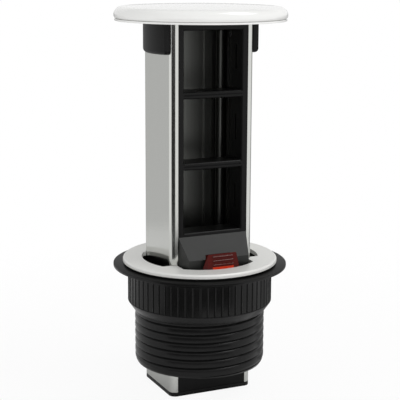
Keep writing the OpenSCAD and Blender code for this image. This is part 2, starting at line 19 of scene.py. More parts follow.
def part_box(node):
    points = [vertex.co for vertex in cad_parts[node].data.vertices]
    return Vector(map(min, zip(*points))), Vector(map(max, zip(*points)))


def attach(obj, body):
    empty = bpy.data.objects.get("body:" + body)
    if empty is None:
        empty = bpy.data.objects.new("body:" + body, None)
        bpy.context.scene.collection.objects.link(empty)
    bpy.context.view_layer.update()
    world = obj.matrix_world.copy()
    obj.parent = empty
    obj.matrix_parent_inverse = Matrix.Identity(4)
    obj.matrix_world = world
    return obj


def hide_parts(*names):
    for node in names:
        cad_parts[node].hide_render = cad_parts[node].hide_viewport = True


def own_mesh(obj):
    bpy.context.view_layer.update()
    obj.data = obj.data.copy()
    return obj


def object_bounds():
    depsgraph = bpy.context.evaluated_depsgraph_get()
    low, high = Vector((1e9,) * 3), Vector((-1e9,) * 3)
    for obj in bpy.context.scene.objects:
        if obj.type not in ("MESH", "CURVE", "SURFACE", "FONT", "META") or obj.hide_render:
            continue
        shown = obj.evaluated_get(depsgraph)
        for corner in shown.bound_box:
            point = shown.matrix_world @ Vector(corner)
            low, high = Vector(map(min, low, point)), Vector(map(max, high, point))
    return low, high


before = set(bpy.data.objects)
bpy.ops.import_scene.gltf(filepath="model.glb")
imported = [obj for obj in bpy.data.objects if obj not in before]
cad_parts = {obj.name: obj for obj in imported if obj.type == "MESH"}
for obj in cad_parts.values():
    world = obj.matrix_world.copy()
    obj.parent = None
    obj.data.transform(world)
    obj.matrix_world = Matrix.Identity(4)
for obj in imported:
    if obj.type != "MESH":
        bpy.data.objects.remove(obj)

LOG = logging.getLogger("desk_socket")
CAD_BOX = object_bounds()
MM = 0.001
# Points nearer than this, in metres, are taken for one
MERGE = 2e-6
# Angles in degrees above which an edge stays crisp
CRISP_DEG = 38.0
TURNED_DEG = 40.0
THREAD_DEG = 42.0
WIRE_DEG = 50.0
UP = (0.0, 0.0, 1.0)
DOWN = (0.0, 0.0, -1.0)
SIDES = (-1.0, 1.0)
# Sockets of a Mix node, by number because its kinds share their names
MIX_SHARE, MIX_FROM, MIX_TO, MIX_COLOUR_FROM, MIX_COLOUR_TO, MIX_COLOUR = 0, 2, 3, 6, 7, 2
# A copied node's triangles join where they lie this flat, into faces with corners this far from square
FLAT_DEG = 0.5
SQUARE_DEG = 30.0
# A noise pattern keeps mostly between these values, and has so many finer layers
NOISE_LOW, NOISE_HIGH = 0.3, 0.7
FINE_LAYERS, BROAD_LAYERS = 2.0, 3.0

Point = tuple[float, float]
Place = tuple[float, float, float]
Seat = tuple[Place, Place]
Term = str | float


def span(node: str, axis: str) -> Point:
    """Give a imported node's reach along an axis.

    Args:
        node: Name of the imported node.
        axis: One of "x", "y" and "z".

    Returns:
        Its lowest and highest place in millimetres.
    """
    low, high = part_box(node)
    return getattr(low, axis) / MM, getattr(high, axis) / MM


class Body(Enum):
    """The bodies that pieces ride on."""

    HOUSING = "housing"
    TOWER = "tower"
    LATCH = "latch"
    WASHER = "washer"
    NUT = "nut"


# Small helpers


def linear(colour: str) -> tuple[float, float, float, float]:
    """Turn an sRGB hex colour into linear light.

    Args:
        colour: Colour such as "#a0b0c0".

    Returns:
        Red, green, blue and an alpha of 1.
    """
    channels = [int(colour[i:i + 2], 16) / 255 for i in (1, 3, 5)]
    red, green, blue = (
        c / 12.92 if c <= 0.04045 else ((c + 0.055) / 1.055) ** 2.4 for c in channels
    )
    return red, green, blue, 1.0


def add_node(
    tree: bpy.types.NodeTree,
    kind: str,
    settings: Optional[Mapping[str, Any]] = None,
    values: Optional[Mapping[Any, Any]] = None,
    links: Optional[Mapping[Any, bpy.types.NodeSocket]] = None,
) -> bpy.types.Node:
    """Add one node with its settings and links.

    Args:
        tree: Tree that the node goes into.
        kind: Blender's identifier of the node.
        settings: Properties of the node.
        values: Constants for its inputs, by name or number.
        links: Sockets that feed its inputs, by name or number.

    Returns:
        The new node.
    """
    node = tree.nodes.new(kind)
    for key, value in (settings or {}).items():
        setattr(node, key, value)
    for key, value in (values or {}).items():
        node.inputs[key].default_value = value
    for key, socket in (links or {}).items():
        tree.links.new(socket, node.inputs[key])
    return node


def new_piece(name: str, mesh: bpy.types.Mesh) -> bpy.types.Object:
    """Put a mesh in the scene as an object at the origin.

    Args:
        name: Name of the piece.
        mesh: Its mesh, in metres, with its place in its points.

    Returns:
        The new object.
    """
    mesh.name = name
    piece = bpy.data.objects.new(name, mesh)
    bpy.context.scene.collection.objects.link(piece)
    return piece


def shade(mesh: bpy.types.Mesh, sharp_deg: float) -> None:
    """Shade a mesh smooth, with edges sharper than an angle kept crisp.

    Args:
        mesh: Mesh to shade.
        sharp_deg: Angle above which an edge stays sharp.
    """
    mesh.polygons.foreach_set("use_smooth", [True] * len(mesh.polygons))
    mesh.set_sharp_from_angle(angle=math.radians(sharp_deg))


def weigh_normals(mesh: bpy.types.Mesh, sharp_deg: float) -> None:
    """Let the large faces at each corner decide how it is shaded, so flat faces look flat.

    Args:
        mesh: Mesh with small faces along its broken edges.
        sharp_deg: Angle up to which faces are shaded together.
    """
    around: list[list[bpy.types.MeshPolygon]] = [[] for _ in mesh.vertices]
    for face in mesh.polygons:
        for corner in face.vertices:
            around[corner].append(face)
    limit = math.cos(math.radians(sharp_deg))
    normals = []
    for face in mesh.polygons:
        for corner in face.vertices:
            near = [f for f in around[corner] if f.normal.dot(face.normal) > limit]
            least = face.normal * MERGE ** 2
            normals.append(sum((f.normal * f.area for f in near), least).normalized())
    mesh.normals_split_custom_set(normals)


def bake_modifiers(piece: bpy.types.Object) -> None:
    """Turn a piece and its modifiers into a plain mesh.

    Args:
        piece: Object whose modifiers are applied and removed.
    """
    graph = bpy.context.evaluated_depsgraph_get()
    mesh = bpy.data.meshes.new_from_object(piece.evaluated_get(graph), depsgraph=graph)
    old = piece.data
    piece.modifiers.clear()
    piece.data = mesh
    bpy.data.meshes.remove(old)
    mesh.name = piece.name


def as_mesh(bm: bmesh.types.BMesh, name: str) -> bpy.types.Mesh:
    """Turn an edit mesh into a plain one.

    Args:
        bm: Edit mesh, which is used up.
        name: Name of the new mesh.

    Returns:
        The plain mesh.
    """
    mesh = bpy.data.meshes.new(name)
    bm.to_mesh(mesh)
    bm.free()
    return mesh


def arc(centre: Point, radius: float, start: float, end: float, steps: int) -> list[Point]:
    """List points on an arc.

    Args:
        centre: Centre of the arc.
        radius: Its radius.
        start: First angle in degrees.
        end: Last angle in degrees.
        steps: Number of spans between the points.

    Returns:
        The points, both ends included.
    """
    angles = [math.radians(start + (end - start) * i / steps) for i in range(steps + 1)]
    return [(centre[0] + radius * math.cos(a), centre[1] + radius * math.sin(a)) for a in angles]


def rounded_path(corners: Sequence[Place], steps: int = 3) -> list[Point]:
    """Round the corners of an open path.

    Args:
        corners: Points with the radius of each, the ends having none.
        steps: Spans on each rounding.

    Returns:
        The path's points.
    """
    path: list[Point] = []
    for i, (x, y, radius) in enumerate(corners):
        if radius == 0 or i in (0, len(corners) - 1):
            path.append((x, y))
            continue
        here = Vector((x, y))
        back = (Vector(corners[i - 1][:2]) - here).normalized()
        ahead = (Vector(corners[i + 1][:2]) - here).normalized()
        half = back.angle(ahead) / 2
        reach = radius / math.tan(half)
        centre = here + (back + ahead).normalized() * (radius / math.sin(half))
        first, last = here + back * reach - centre, here + ahead * reach - centre
        turn = first.angle_signed(last)
        for k in range(steps + 1):
            spoke = Matrix.Rotation(-turn * k / steps, 2) @ first
            path.append(tuple(centre + spoke))
    return path


def lathe(profile: Sequence[Point], steps: int, closed: bool = True) -> bpy.types.Mesh:
    """Turn a half section round the Z axis.

    Args:
        profile: Radius and height of each point, in millimetres.
        steps: Spans round the axis.
        closed: Whether the last point joins the first.

    Returns:
        The turned mesh, in metres.
    """
    bm = bmesh.new()
    rings: list[list[bmesh.types.BMVert]] = []
    for radius, height in profile:
        count = steps if radius else 1
        turns = [2 * math.pi * k / steps for k in range(count)]
        rings.append([
            bm.verts.new((radius * MM * math.cos(a), radius * MM * math.sin(a), height * MM))
            for a in turns
        ])
    pairs = list(zip(rings, rings[1:]))
    if closed and len(rings[0]) > 1:
        pairs.append((rings[-1], rings[0]))
    for low, high in pairs:
        for k in range(steps):
            corners = [low[k % len(low)], low[(k + 1) % len(low)],
                       high[(k + 1) % len(high)], high[k % len(high)]]
            bm.faces.new(list(dict.fromkeys(corners)))
    bmesh.ops.recalc_face_normals(bm, faces=bm.faces)
    return as_mesh(bm, "turned")


def prism(outline: Sequence[Point], low: float, high: float) -> bpy.types.Mesh:
    """Raise an outline along Z.

    Args:
        outline: Corners in millimetres, in order.
        low: Lower height in millimetres.
        high: Upper height in millimetres.

    Returns:
        The closed mesh, in metres.
    """
    bm = bmesh.new()
    floors = [[bm.verts.new((x * MM, y * MM, z * MM)) for x, y in outline] for z in (low, high)]
    bm.faces.new(floors[0])
    bm.faces.new(floors[1])
    for k in range(len(outline)):
        after = (k + 1) % len(outline)
        bm.faces.new((floors[0][k], floors[0][after], floors[1][after], floors[1][k]))
    bmesh.ops.recalc_face_normals(bm, faces=bm.faces)
    return as_mesh(bm, "raised")


def add_solid(bm: bmesh.types.BMesh, points: Sequence[Sequence[float]]) -> None:
    """Add the convex solid that spans a set of points.

    Args:
        bm: Mesh that it is added to.
        points: Its corners in millimetres.
    """
    corners = [bm.verts.new(Vector(point) * MM) for point in points]
    made = bmesh.ops.convex_hull(bm, input=corners)
    inner = made["geom_interior"] + made["geom_unused"]
    spare = {v for v in inner if isinstance(v, bmesh.types.BMVert)}
    bmesh.ops.delete(bm, geom=list(spare), context="VERTS")


def node_copy(node: str) -> bmesh.types.BMesh:
    """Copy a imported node's mesh with its loose triangles merged.

    Args:
        node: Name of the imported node.

    Returns:
        The merged copy.
    """
    bm = bmesh.new()
    bm.from_mesh(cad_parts[node].data)
    bmesh.ops.remove_doubles(bm, verts=bm.verts, dist=MERGE)
    return bm


def finished(
    bm: bmesh.types.BMesh, name: str, bevel: float, segments: int = 2, sharp: float = CRISP_DEG
) -> bpy.types.Object:
    """Make a piece of a mesh and break its sharp edges.

    Args:
        bm: Merged mesh, which is used up.
        name: Name of the new piece.
        bevel: Width of the broken edges in millimetres.
        segments: Spans across a broken edge.
        sharp: Angle above which an edge is broken, in degrees.

    Returns:
        The finished piece.
    """
    piece = new_piece(name, as_mesh(bm, name))
    shade(piece.data, sharp)
    edge = piece.modifiers.new("broken_edges", "BEVEL")
    edge.limit_method = "ANGLE"
    edge.angle_limit = math.radians(sharp)
    edge.width = bevel * MM
    edge.segments = segments
    edge.miter_outer = "MITER_ARC"
    bake_modifiers(piece)
    weigh_normals(piece.data, sharp)
    return piece


def ring_seats(radius: float, height: float, angles: Sequence[float]) -> list[Seat]:
    """List the seats of screws on a ring, with their heads below.

    Args:
        radius: Radius of the ring in millimetres.
        height: Height of the seats in millimetres.
        angles: Angle of each seat in degrees.

    Returns:
        Place and facing of each seat.
    """
    turns = [math.radians(a) for a in angles]
    return [((radius * math.cos(a), radius * math.sin(a), height), DOWN) for a in turns]


class FormTree:
    """A Geometry Nodes tree with named sizes that ends as a plain mesh."""

    def __init__(self, name: str) -> None:
        """Start an empty tree.

        Args:
            name: Name of the tree.
        """
        self.tree = bpy.data.node_groups.new(name, "GeometryNodeTree")
        for way in ("INPUT", "OUTPUT"):
            self.tree.interface.new_socket("Geometry", in_out=way, socket_type="NodeSocketGeometry")
        self.entry = add_node(self.tree, "NodeGroupInput")
        self.keys: dict[str, str] = {}

    @property
    def geometry(self) -> bpy.types.NodeSocket:
        """The mesh that the tree is given."""
        return self.entry.outputs[0]

    def size(self, name: str, kind: str = "Float") -> bpy.types.NodeSocket:
        """Add a named input.

        Args:
            name: What the input sets.
            kind: Its kind, such as Float, Int or Object.

        Returns:
            The socket that gives it inside the tree.
        """
        socket = self.tree.interface.new_socket(name, in_out="INPUT", socket_type="NodeSocket" + kind)
        self.keys[name] = socket.identifier
        return next(o for o in self.entry.outputs if o.identifier == socket.identifier)

    def add(
        self,
        kind: str,
        settings: Optional[Mapping[str, Any]] = None,
        values: Optional[Mapping[Any, Any]] = None,
        links: Optional[Mapping[Any, bpy.types.NodeSocket]] = None,
    ) -> bpy.types.NodeSocket:
        """Add a node and give its first output, with add_node's arguments."""
        return add_node(self.tree, kind, settings, values, links).outputs[0]

    def joined(self, *shapes: bpy.types.NodeSocket) -> bpy.types.NodeSocket:
        """Put several shapes together.

        Args:
            shapes: The shapes.

        Returns:
            All of them as one geometry.
        """
        both = add_node(self.tree, "GeometryNodeJoinGeometry")
        for shape in shapes:
            self.tree.links.new(shape, both.inputs[0])
        return both.outputs[0]

    def close(self, geometry: bpy.types.NodeSocket, material: bpy.types.Material) -> None:
        """End the tree in real geometry with a material.

        Args:
            geometry: What the tree has made.
            material: Material of all of it.
        """
        real = self.add("GeometryNodeRealizeInstances", links={0: geometry})
        dressed = self.add("GeometryNodeSetMaterial", values={"Material": material}, links={0: real})
        add_node(self.tree, "NodeGroupOutput", links={0: dressed})

    def make(self, name: str, source: bpy.types.Mesh, sizes: Mapping[str, Any]) -> bpy.types.Object:
        """Run the tree and keep its result as a plain mesh.

        Args:
            name: Name of the new piece.
            source: Mesh that the tree is given.
            sizes: Value of each named input.

        Returns:
            The finished piece.
        """
        piece = new_piece(name, source)
        modifier = piece.modifiers.new("form", "NODES")
        modifier.node_group = self.tree
        for key, value in sizes.items():
            modifier[self.keys[key]] = value
        bake_modifiers(piece)
        return piece


# Finishes


class Finish(ABC):
    """A surface finish that can make its material."""

    name: str
    slot: str

    def material(self) -> bpy.types.Material:
        """Give the finish's material, making it the first time.

        Returns:
            The material.
        """
        known = bpy.data.materials.get(self.name)
        if known:
            return known
        material = bpy.data.materials.new(self.name)
        material.use_nodes = True
        tree = material.node_tree
        tree.nodes.clear()
        shader = add_node(tree, "ShaderNodeBsdfPrincipled")
        add_node(tree, "ShaderNodeOutputMaterial", links={"Surface": shader.outputs["BSDF"]})
        place = add_node(tree, "ShaderNodeTexCoord").outputs["Object"]
        self.dress(tree, shader, place)
        return material

    @abstractmethod
    def dress(
        self, tree: bpy.types.NodeTree, shader: bpy.types.Node, place: bpy.types.NodeSocket
    ) -> None:
        """Set the shader up.

        Args:
            tree: The material's tree.
            shader: Its surface shader.
            place: Object coordinates in metres.
        """

    @staticmethod
    def colour_and_grain(
        tree: bpy.types.NodeTree,
        shader: bpy.types.Node,
        share: bpy.types.NodeSocket,
        colours: tuple[str, str],
        grain: bpy.types.NodeSocket,
        gloss: tuple[float, float],
        depth_mm: float = 0.0,
    ) -> None:
        """Colour a shader by one pattern, and vary its gloss and relief by another.

        Args:
            tree: The material's tree.
            shader: Its surface shader.
            share: Pattern that leads from the first colour to the second.
            colours: The two colours.
            grain: Pattern of the surface's grain.
            gloss: Roughness where the grain is low and where it is high.
            depth_mm: Depth of the grain, or 0 for a smooth surface.
        """
        first, second = (linear(colour) for colour in colours)
        tint = add_node(tree, "ShaderNodeMix", {"data_type": "RGBA"},
                        {MIX_COLOUR_FROM: first, MIX_COLOUR_TO: second}, {MIX_SHARE: share})
        rough = add_node(tree, "ShaderNodeMapRange",
                         values={"From Min": NOISE_LOW, "From Max": NOISE_HIGH,
                                 "To Min": gloss[0], "To Max": gloss[1]},
                         links={"Value": grain})
        tree.links.new(tint.outputs[MIX_COLOUR], shader.inputs["Base Color"])
        tree.links.new(rough.outputs["Result"], shader.inputs["Roughness"])
        if depth_mm:
            bump = add_node(tree, "ShaderNodeBump",
                            values={"Strength": 1.0, "Distance": depth_mm * MM}, links={"Height": grain})
            tree.links.new(bump.outputs["Normal"], shader.inputs["Normal"])


@dataclass(frozen=True)
class MouldedPlastic(Finish):
    """Injection-moulded plastic: a fine eroded grain breaks up its gloss."""

    name: str
    slot: str
    colour: str
    faded: str
    gloss: tuple[float, float]
    grain_mm: float
    grain_depth_mm: float
    patch_mm: float = 22.0
    coat: float = 0.0
    coat_gloss: float = 0.06
    ior: float = 1.53
    sheen_level: float = 0.5

    def dress(
        self, tree: bpy.types.NodeTree, shader: bpy.types.Node, place: bpy.types.NodeSocket
    ) -> None:
        """Set the shader up.

        Args:
            tree: The material's tree.
            shader: Its surface shader.
            place: Object coordinates in metres.
        """
        shader.inputs["IOR"].default_value = self.ior
        shader.inputs["Specular IOR Level"].default_value = self.sheen_level
        shader.inputs["Coat Weight"].default_value = self.coat
        shader.inputs["Coat Roughness"].default_value = self.coat_gloss
        patch, grain = (
            add_node(tree, "ShaderNodeTexNoise", values={"Scale": 1 / (size * MM), "Detail": detail},
                     links={"Vector": place}).outputs["Fac"]
            for size, detail in ((self.patch_mm, BROAD_LAYERS), (self.grain_mm, FINE_LAYERS)))
        self.colour_and_grain(tree, shader, patch, (self.colour, self.faded), grain, self.gloss,
                              self.grain_depth_mm)


@dataclass(frozen=True)
class DrawnMetal(Finish):
    """Metal with a grain drawn along one axis, or even in all of them."""

    name: str
    slot: str
    colour: str
    worn: str
    gloss: tuple[float, float]
    grain_mm: Place
    grain_depth_mm: float
    metal: float = 1.0

    def dress(
        self, tree: bpy.types.NodeTree, shader: bpy.types.Node, place: bpy.types.NodeSocket
    ) -> None:
        """Set the shader up.

        Args:
            tree: The material's tree.
            shader: Its surface shader.
            place: Object coordinates in metres.
        """
        shader.inputs["Metallic"].default_value = self.metal
        lines = add_node(tree, "ShaderNodeMapping", values={"Scale": [1 / (g * MM) for g in self.grain_mm]},
                         links={"Vector": place})
        grain = add_node(tree, "ShaderNodeTexNoise", values={"Scale": 1.0, "Detail": BROAD_LAYERS},
                         links={"Vector": lines.outputs["Vector"]}).outputs["Fac"]
        self.colour_and_grain(tree, shader, grain, (self.colour, self.worn), grain, self.gloss,
                              self.grain_depth_mm)


@dataclass(frozen=True)
class TintedPlastic(Finish):
    """See-through red plastic with a painted glow: its foot is painted orange for the light that gathers
    there.
    """

    name: str
    slot: str
    deep: str
    painted_glow: str
    sheen_level: float
    glow_top_mm: float = 7.5
    glow_half_mm: float = 8.2
    glow_blur_mm: float = 0.25
    grain_mm: float = 1.4
    gloss: tuple[float, float] = (0.2, 0.28)
    ior: float = 1.58

    def dress(
        self, tree: bpy.types.NodeTree, shader: bpy.types.Node, place: bpy.types.NodeSocket
    ) -> None:
        """Set the shader up.

        Args:
            tree: The material's tree.
            shader: Its surface shader.
            place: Object coordinates in metres.
        """
        shader.inputs["IOR"].default_value = self.ior
        shader.inputs["Specular IOR Level"].default_value = self.sheen_level
        spot = add_node(tree, "ShaderNodeSeparateXYZ", links={0: place})
        aside = add_node(tree, "ShaderNodeMath", {"operation": "ABSOLUTE"}, links={0: spot.outputs["X"]})
        # The foot, below this height and within this half width, gets the painted glow
        edges = ((self.glow_top_mm, spot.outputs["Z"]), (self.glow_half_mm, aside.outputs[0]))
        blur = self.glow_blur_mm * MM
        over, beside = (
            add_node(tree, "ShaderNodeMapRange", {"interpolation_type": "SMOOTHSTEP"},
                     {"From Min": edge * MM - blur, "From Max": edge * MM + blur},
                     {"Value": value}).outputs["Result"]
            for edge, value in edges)
        # 0 in the painted glow on the foot, 1 on the deep red
        depth = add_node(tree, "ShaderNodeMath", {"operation": "MAXIMUM"}, links={0: over, 1: beside})
        grain = add_node(tree, "ShaderNodeTexNoise",
                         values={"Scale": 1 / (self.grain_mm * MM), "Detail": FINE_LAYERS},
                         links={"Vector": place}).outputs["Fac"]
        self.colour_and_grain(tree, shader, depth.outputs[0], (self.painted_glow, self.deep), grain, self.gloss)


# Polished ABS: a clear, near-white gloss with a trace of flow ripple
WHITE_ABS = MouldedPlastic(
    "gloss_white_abs", "white", "#f3f3f1", "#efefed", gloss=(0.10, 0.16),
    grain_mm=5.0, grain_depth_mm=0.004, patch_mm=40.0, coat=0.4)
# Glass-filled nylon: deep black with a low sheen, and a fine eroded grain drawn coarse enough to show
BLACK_NYLON = MouldedPlastic(
    "black_glass_filled_nylon", "black", "#0f0f0f", "#131313", gloss=(0.2, 0.27),
    grain_mm=0.9, grain_depth_mm=0.002, sheen_level=0.2)
# The same nylon with the mould's matt texture on the flange's face: hardly any sheen at a low angle
MATT_NYLON = MouldedPlastic(
    "black_textured_nylon", "black", "#0f0f0f", "#131313", gloss=(0.3, 0.38),
    grain_mm=0.9, grain_depth_mm=0.004, sheen_level=0.03)
# ABS frame: black with a satin gloss, so its broken edges catch light
BLACK_ABS = MouldedPlastic(
    "black_satin_abs", "black", "#0b0b0b", "#0f0f0f", gloss=(0.3, 0.4),
    grain_mm=0.8, grain_depth_mm=0.008, sheen_level=0.15)
# Grey ABS: matt charcoal that looks lighter where it faces up
GREY_ABS = MouldedPlastic(
    "charcoal_matt_abs", "grey", "#1b1c1b", "#20211f", gloss=(0.34, 0.44),
    grain_mm=0.8, grain_depth_mm=0.01, sheen_level=0.32)
# Natural nylon: milky ivory, waxy
NATURAL_NYLON = MouldedPlastic(
    "natural_nylon", "nylon", "#e4e0d4", "#dcd7c8", gloss=(0.38, 0.48),
    grain_mm=1.0, grain_depth_mm=0.008)
# Rubber: matt black with a dusty bloom
BLACK_RUBBER = MouldedPlastic(
    "black_rubber", "rubber", "#161616", "#20201f", gloss=(0.65, 0.8),
    grain_mm=0.8, grain_depth_mm=0.02, patch_mm=8.0)
# Anodised extrusion: even satin grey with faint drawn lines along its length
ALUMINIUM = DrawnMetal(
    "anodised_aluminium", "alu", "#d4d5d1", "#cfd0cc", gloss=(0.12, 0.16),
    grain_mm=(0.5, 0.5, 90.0), grain_depth_mm=0.0002)
# Mill finish inside the extrusion: duller, as the die left it, and darker as painted shade for the hollow
MILL_ALUMINIUM_SHADED = DrawnMetal(
    "mill_finish_aluminium", "alu", "#70716e", "#666764", gloss=(0.3, 0.4),
    grain_mm=(0.8, 0.8, 90.0), grain_depth_mm=0.001)
# Silver lacquer on a casting: even and bright, with only a soft trace of reflections
SATIN_CAST = DrawnMetal(
    "silver_lacquered_zinc", "bezel", "#eaeae7", "#e4e4e1", gloss=(0.38, 0.48),
    grain_mm=(0.7, 0.7, 0.7), grain_depth_mm=0.002, metal=0.2)
# Zinc-plated steel: bright grey with a faint mottling
ZINC_STEEL = DrawnMetal(
    "zinc_plated_steel", "steel", "#b4b6b8", "#9fa1a4", gloss=(0.2, 0.34),
    grain_mm=(1.2, 1.2, 1.2), grain_depth_mm=0.002)
# Tinted polycarbonate: dark red through its depth, with a painted orange glow on its foot
RED_TINTED = TintedPlastic(
    "red_tinted_polycarbonate", "red", deep="#4a0e0a", painted_glow="#cc3818", sheen_level=0.1)
# The same plastic, a touch browner and more reflective on the ribs' upper faces: a painted highlight, so they
# mirror the room as pale brown bands
RED_PAINTED_GLINT = TintedPlastic(
    "red_polished_polycarbonate", "red", deep="#4a1008", painted_glow="#cc3818", sheen_level=0.6)


# Sub-assemblies: sizes are in millimetres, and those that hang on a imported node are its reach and
# an allowance


class Assembly(ABC):
    """A group of pieces that is built together."""

    @abstractmethod
    def build(self) -> None:
        """Build and dress every piece."""

    def place(self, piece: bpy.types.Object, body: Body, finish: Finish, *nodes: str) -> None:
        """Dress a piece, let it stand for its nodes and ride on its body.

        Args:
            piece: Finished piece.
            body: Body that it moves with.
            finish: Its finish.
            nodes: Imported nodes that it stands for.
        """
        piece.data.materials.clear()
        piece.data.materials.append(finish.material())
        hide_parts(*nodes)
        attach(piece, body.value)
        faces = len(piece.data.polygons)
        LOG.info("%s: %d faces on %s for %s", piece.name, faces, body.value, ", ".join(nodes))

    def copy(
        self,
        node: str,
        name: str,
        body: Body,
        finish: Finish,
        bevel: float,
        segments: int = 2,
        sharp: float = CRISP_DEG,
    ) -> None:
        """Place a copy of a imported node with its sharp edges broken.

        Args:
            node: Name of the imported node.
            name: Name of the new piece.
            body: Body that it moves with.
            finish: Its finish.
            bevel: Width of the broken edges in millimetres.
            segments: Spans across a broken edge.
            sharp: Angle above which an edge is broken, in degrees.
        """
        bm = node_copy(node)
        bmesh.ops.join_triangles(bm, faces=bm.faces, angle_face_threshold=math.radians(FLAT_DEG),
                                 angle_shape_threshold=math.radians(SQUARE_DEG))
        self.place(finished(bm, name, bevel, segments, sharp), body, finish, node)

    def retint(
        self, piece: bpy.types.Object, finish: Finish, chosen: Callable[[Vector, Vector], bool]
    ) -> None:
        """Give some faces of a dressed piece a finish of their own.

        Args:
            piece: The dressed piece.
            finish: The finish of the chosen faces.
            chosen: Tells from a face's middle in millimetres and its normal whether it is one.
        """
        piece.data.materials.append(finish.material())
        for face in piece.data.polygons:
            face.material_index = int(chosen(face.center / MM, face.normal))


@dataclass
class Screws:
    """A pan head screw with a cross recess, and the sets that it is used in."""

    radius: float
    head_radius: float
    head_height: float
    length: float
    point_share: float = 0.7
    point: float = 0.6
    seat_round: float = 0.15
    crown_share: float = 0.45
    top_share: float = 0.66
    arm_share: float = 0.52
    arm_half: float = 0.42
    sink_share: float = 0.5
    draft: float = 0.85
    spin: float = 20.0
    around: int = 24

    def template(self, name: str) -> bpy.types.Object:
        """Model one screw with its seat at the origin and its head towards +Z.

        Args:
            name: Name of the template.

        Returns:
            The screw, outside the scene.
        """
        head, top, tip = self.head_radius, self.head_height, -self.length
        half = rounded_path([
            (0.0, tip, 0), (self.radius * self.point_share, tip, 0), (self.radius, tip + self.point, 0),
            (self.radius, 0.0, 0), (head, 0.0, self.seat_round), (head, top, top * self.crown_share),
            (head * self.top_share, top, 0),
        ])
        mesh = lathe(half, self.around, closed=False)
        bm = bmesh.new()
        bm.from_mesh(mesh)
        arm, width, sink = head * self.arm_share * MM, self.arm_half * MM, top * self.sink_share * MM
        plus = [(arm, -width), (arm, width), (width, width), (width, arm), (-width, arm), (-width, width),
                (-arm, width), (-arm, -width), (-width, -width), (-width, -arm), (width, -arm),
                (width, -width)]
        rims = [[bm.verts.new((x * share, y * share, z)) for x, y in plus]
                for z, share in ((top * MM, 1.0), (top * MM - sink, self.draft))]
        mouth = [e for e in bm.edges if e.is_boundary]
        after = [(k + 1) % len(plus) for k in range(len(plus))]
        loop = [bm.edges.new((rims[0][k], rims[0][n])) for k, n in enumerate(after)]
        for k, n in enumerate(after):
            bm.faces.new((rims[0][k], rims[0][n], rims[1][n], rims[1][k]))
        bm.faces.new(rims[1])
        bmesh.ops.bridge_loops(bm, edges=mouth + loop)
        bmesh.ops.recalc_face_normals(bm, faces=bm.faces)
        bm.to_mesh(mesh)
        bm.free()
        shade(mesh, TURNED_DEG)
        return bpy.data.objects.new(name, mesh)

    def fit(self, name: str, seats: Sequence[Seat]) -> bpy.types.Object:
        """Put one screw on every seat.

        Args:
            name: Name of the set.
            seats: Place of each seat in millimetres, and the way its head faces.

        Returns:
            The set as one piece.
        """
        form = FormTree(name + "_form")
        screw = form.size("Screw", "Object")
        spin = form.size("Spin")
        shape = add_node(form.tree, "GeometryNodeObjectInfo", links={0: screw}).outputs["Geometry"]
        facing = form.add("GeometryNodeInputNamedAttribute", {"data_type": "FLOAT_VECTOR"},
                          {"Name": "facing"})
        turn = form.add("FunctionNodeAxisAngleToRotation", values={0: UP}, links={1: spin})
        aim = form.add("FunctionNodeAlignRotationToVector", {"axis": "Z"},
                       links={"Rotation": turn, "Vector": facing})
        made = form.add("GeometryNodeInstanceOnPoints",
                        links={"Points": form.geometry, "Instance": shape, "Rotation": aim})
        form.close(made, ZINC_STEEL.material())
        points = bpy.data.meshes.new(name)
        points.from_pydata([[c * MM for c in at] for at, _ in seats], [], [])
        way = points.attributes.new("facing", "FLOAT_VECTOR", "POINT")
        way.data.foreach_set("vector", [c for _, ahead in seats for c in ahead])
        template = self.template(name + "_one")
        piece = form.make(name, points, {"Screw": template, "Spin": math.radians(self.spin)})
        bpy.data.objects.remove(template)
        return piece


# The part's two screws, apart from their lengths
SMALL_SCREW = {"radius": 1.4, "head_radius": 2.6, "head_height": 2.0}
BIG_SCREW = {"radius": 1.7, "head_radius": 3.2, "head_height": 2.2}


@dataclass
class Lid(Assembly):
    """White domed lid, its rim plate and the screws that join them."""

    radius: float = span("lid_cover", "x")[1]
    edge: float = 6.2
    skirt: float = 2.3
    dome: float = 1.5
    wall: float = 2.4
    foot: float = span("lid_cover", "z")[0]
    # The arcs of dome, edge and lip stop this many degrees short of each other, so that they blend
    edge_gap: float = 2.0
    lip_gap: float = 8.0
    dome_steps: int = 14
    edge_steps: int = 16
    lip_steps: int = 8
    around: int = 160
    screw_inset: float = 12.0
    screw_angles: tuple[float, ...] = (90.0, 210.0, 330.0)
    screw_seat: float = span("lid_screws", "z")[0] + SMALL_SCREW["head_height"]
    screw_length: float = 4.4

    def build(self) -> None:
        """Build the cover, the rim plate and the screws."""
        self.place(self.cover(), Body.TOWER, WHITE_ABS, "lid_cover")
        self.copy("lid_base", "lid_rim_plate", Body.TOWER, WHITE_ABS, bevel=0.25)
        seats = ring_seats(self.radius - self.screw_inset, self.screw_seat, self.screw_angles)
        screws = Screws(length=self.screw_length, **SMALL_SCREW).fit("lid_screw_set", seats)
        self.place(screws, Body.TOWER, ZINC_STEEL, "lid_screws")

    def cover(self) -> bpy.types.Object:
        """Turn the domed cover with its hollow.

        Returns:
            The cover.
        """
        flat = self.radius - self.edge
        waist = self.foot + self.skirt
        top = waist + self.edge
        ball = (flat ** 2 + self.dome ** 2) / (2 * self.dome)
        reach = math.degrees(math.asin(flat / ball))
        half = arc((0.0, top + self.dome - ball), ball, 90.0, 90.0 - reach, self.dome_steps)
        half[0] = (0.0, half[0][1])
        shoulder = 90.0 - self.edge_gap - reach / 2
        half += arc((flat, waist), self.edge, shoulder, 0.0, self.edge_steps)
        skirt = (self.radius - self.skirt, waist)
        half += arc(skirt, self.skirt, -self.lip_gap, -90.0, self.lip_steps)
        half += [(flat, self.foot), (flat, top - self.wall), (0.0, top - self.wall)]
        mesh = lathe(half, self.around, closed=False)
        shade(mesh, TURNED_DEG)
        return new_piece("lid_cover_dome", mesh)


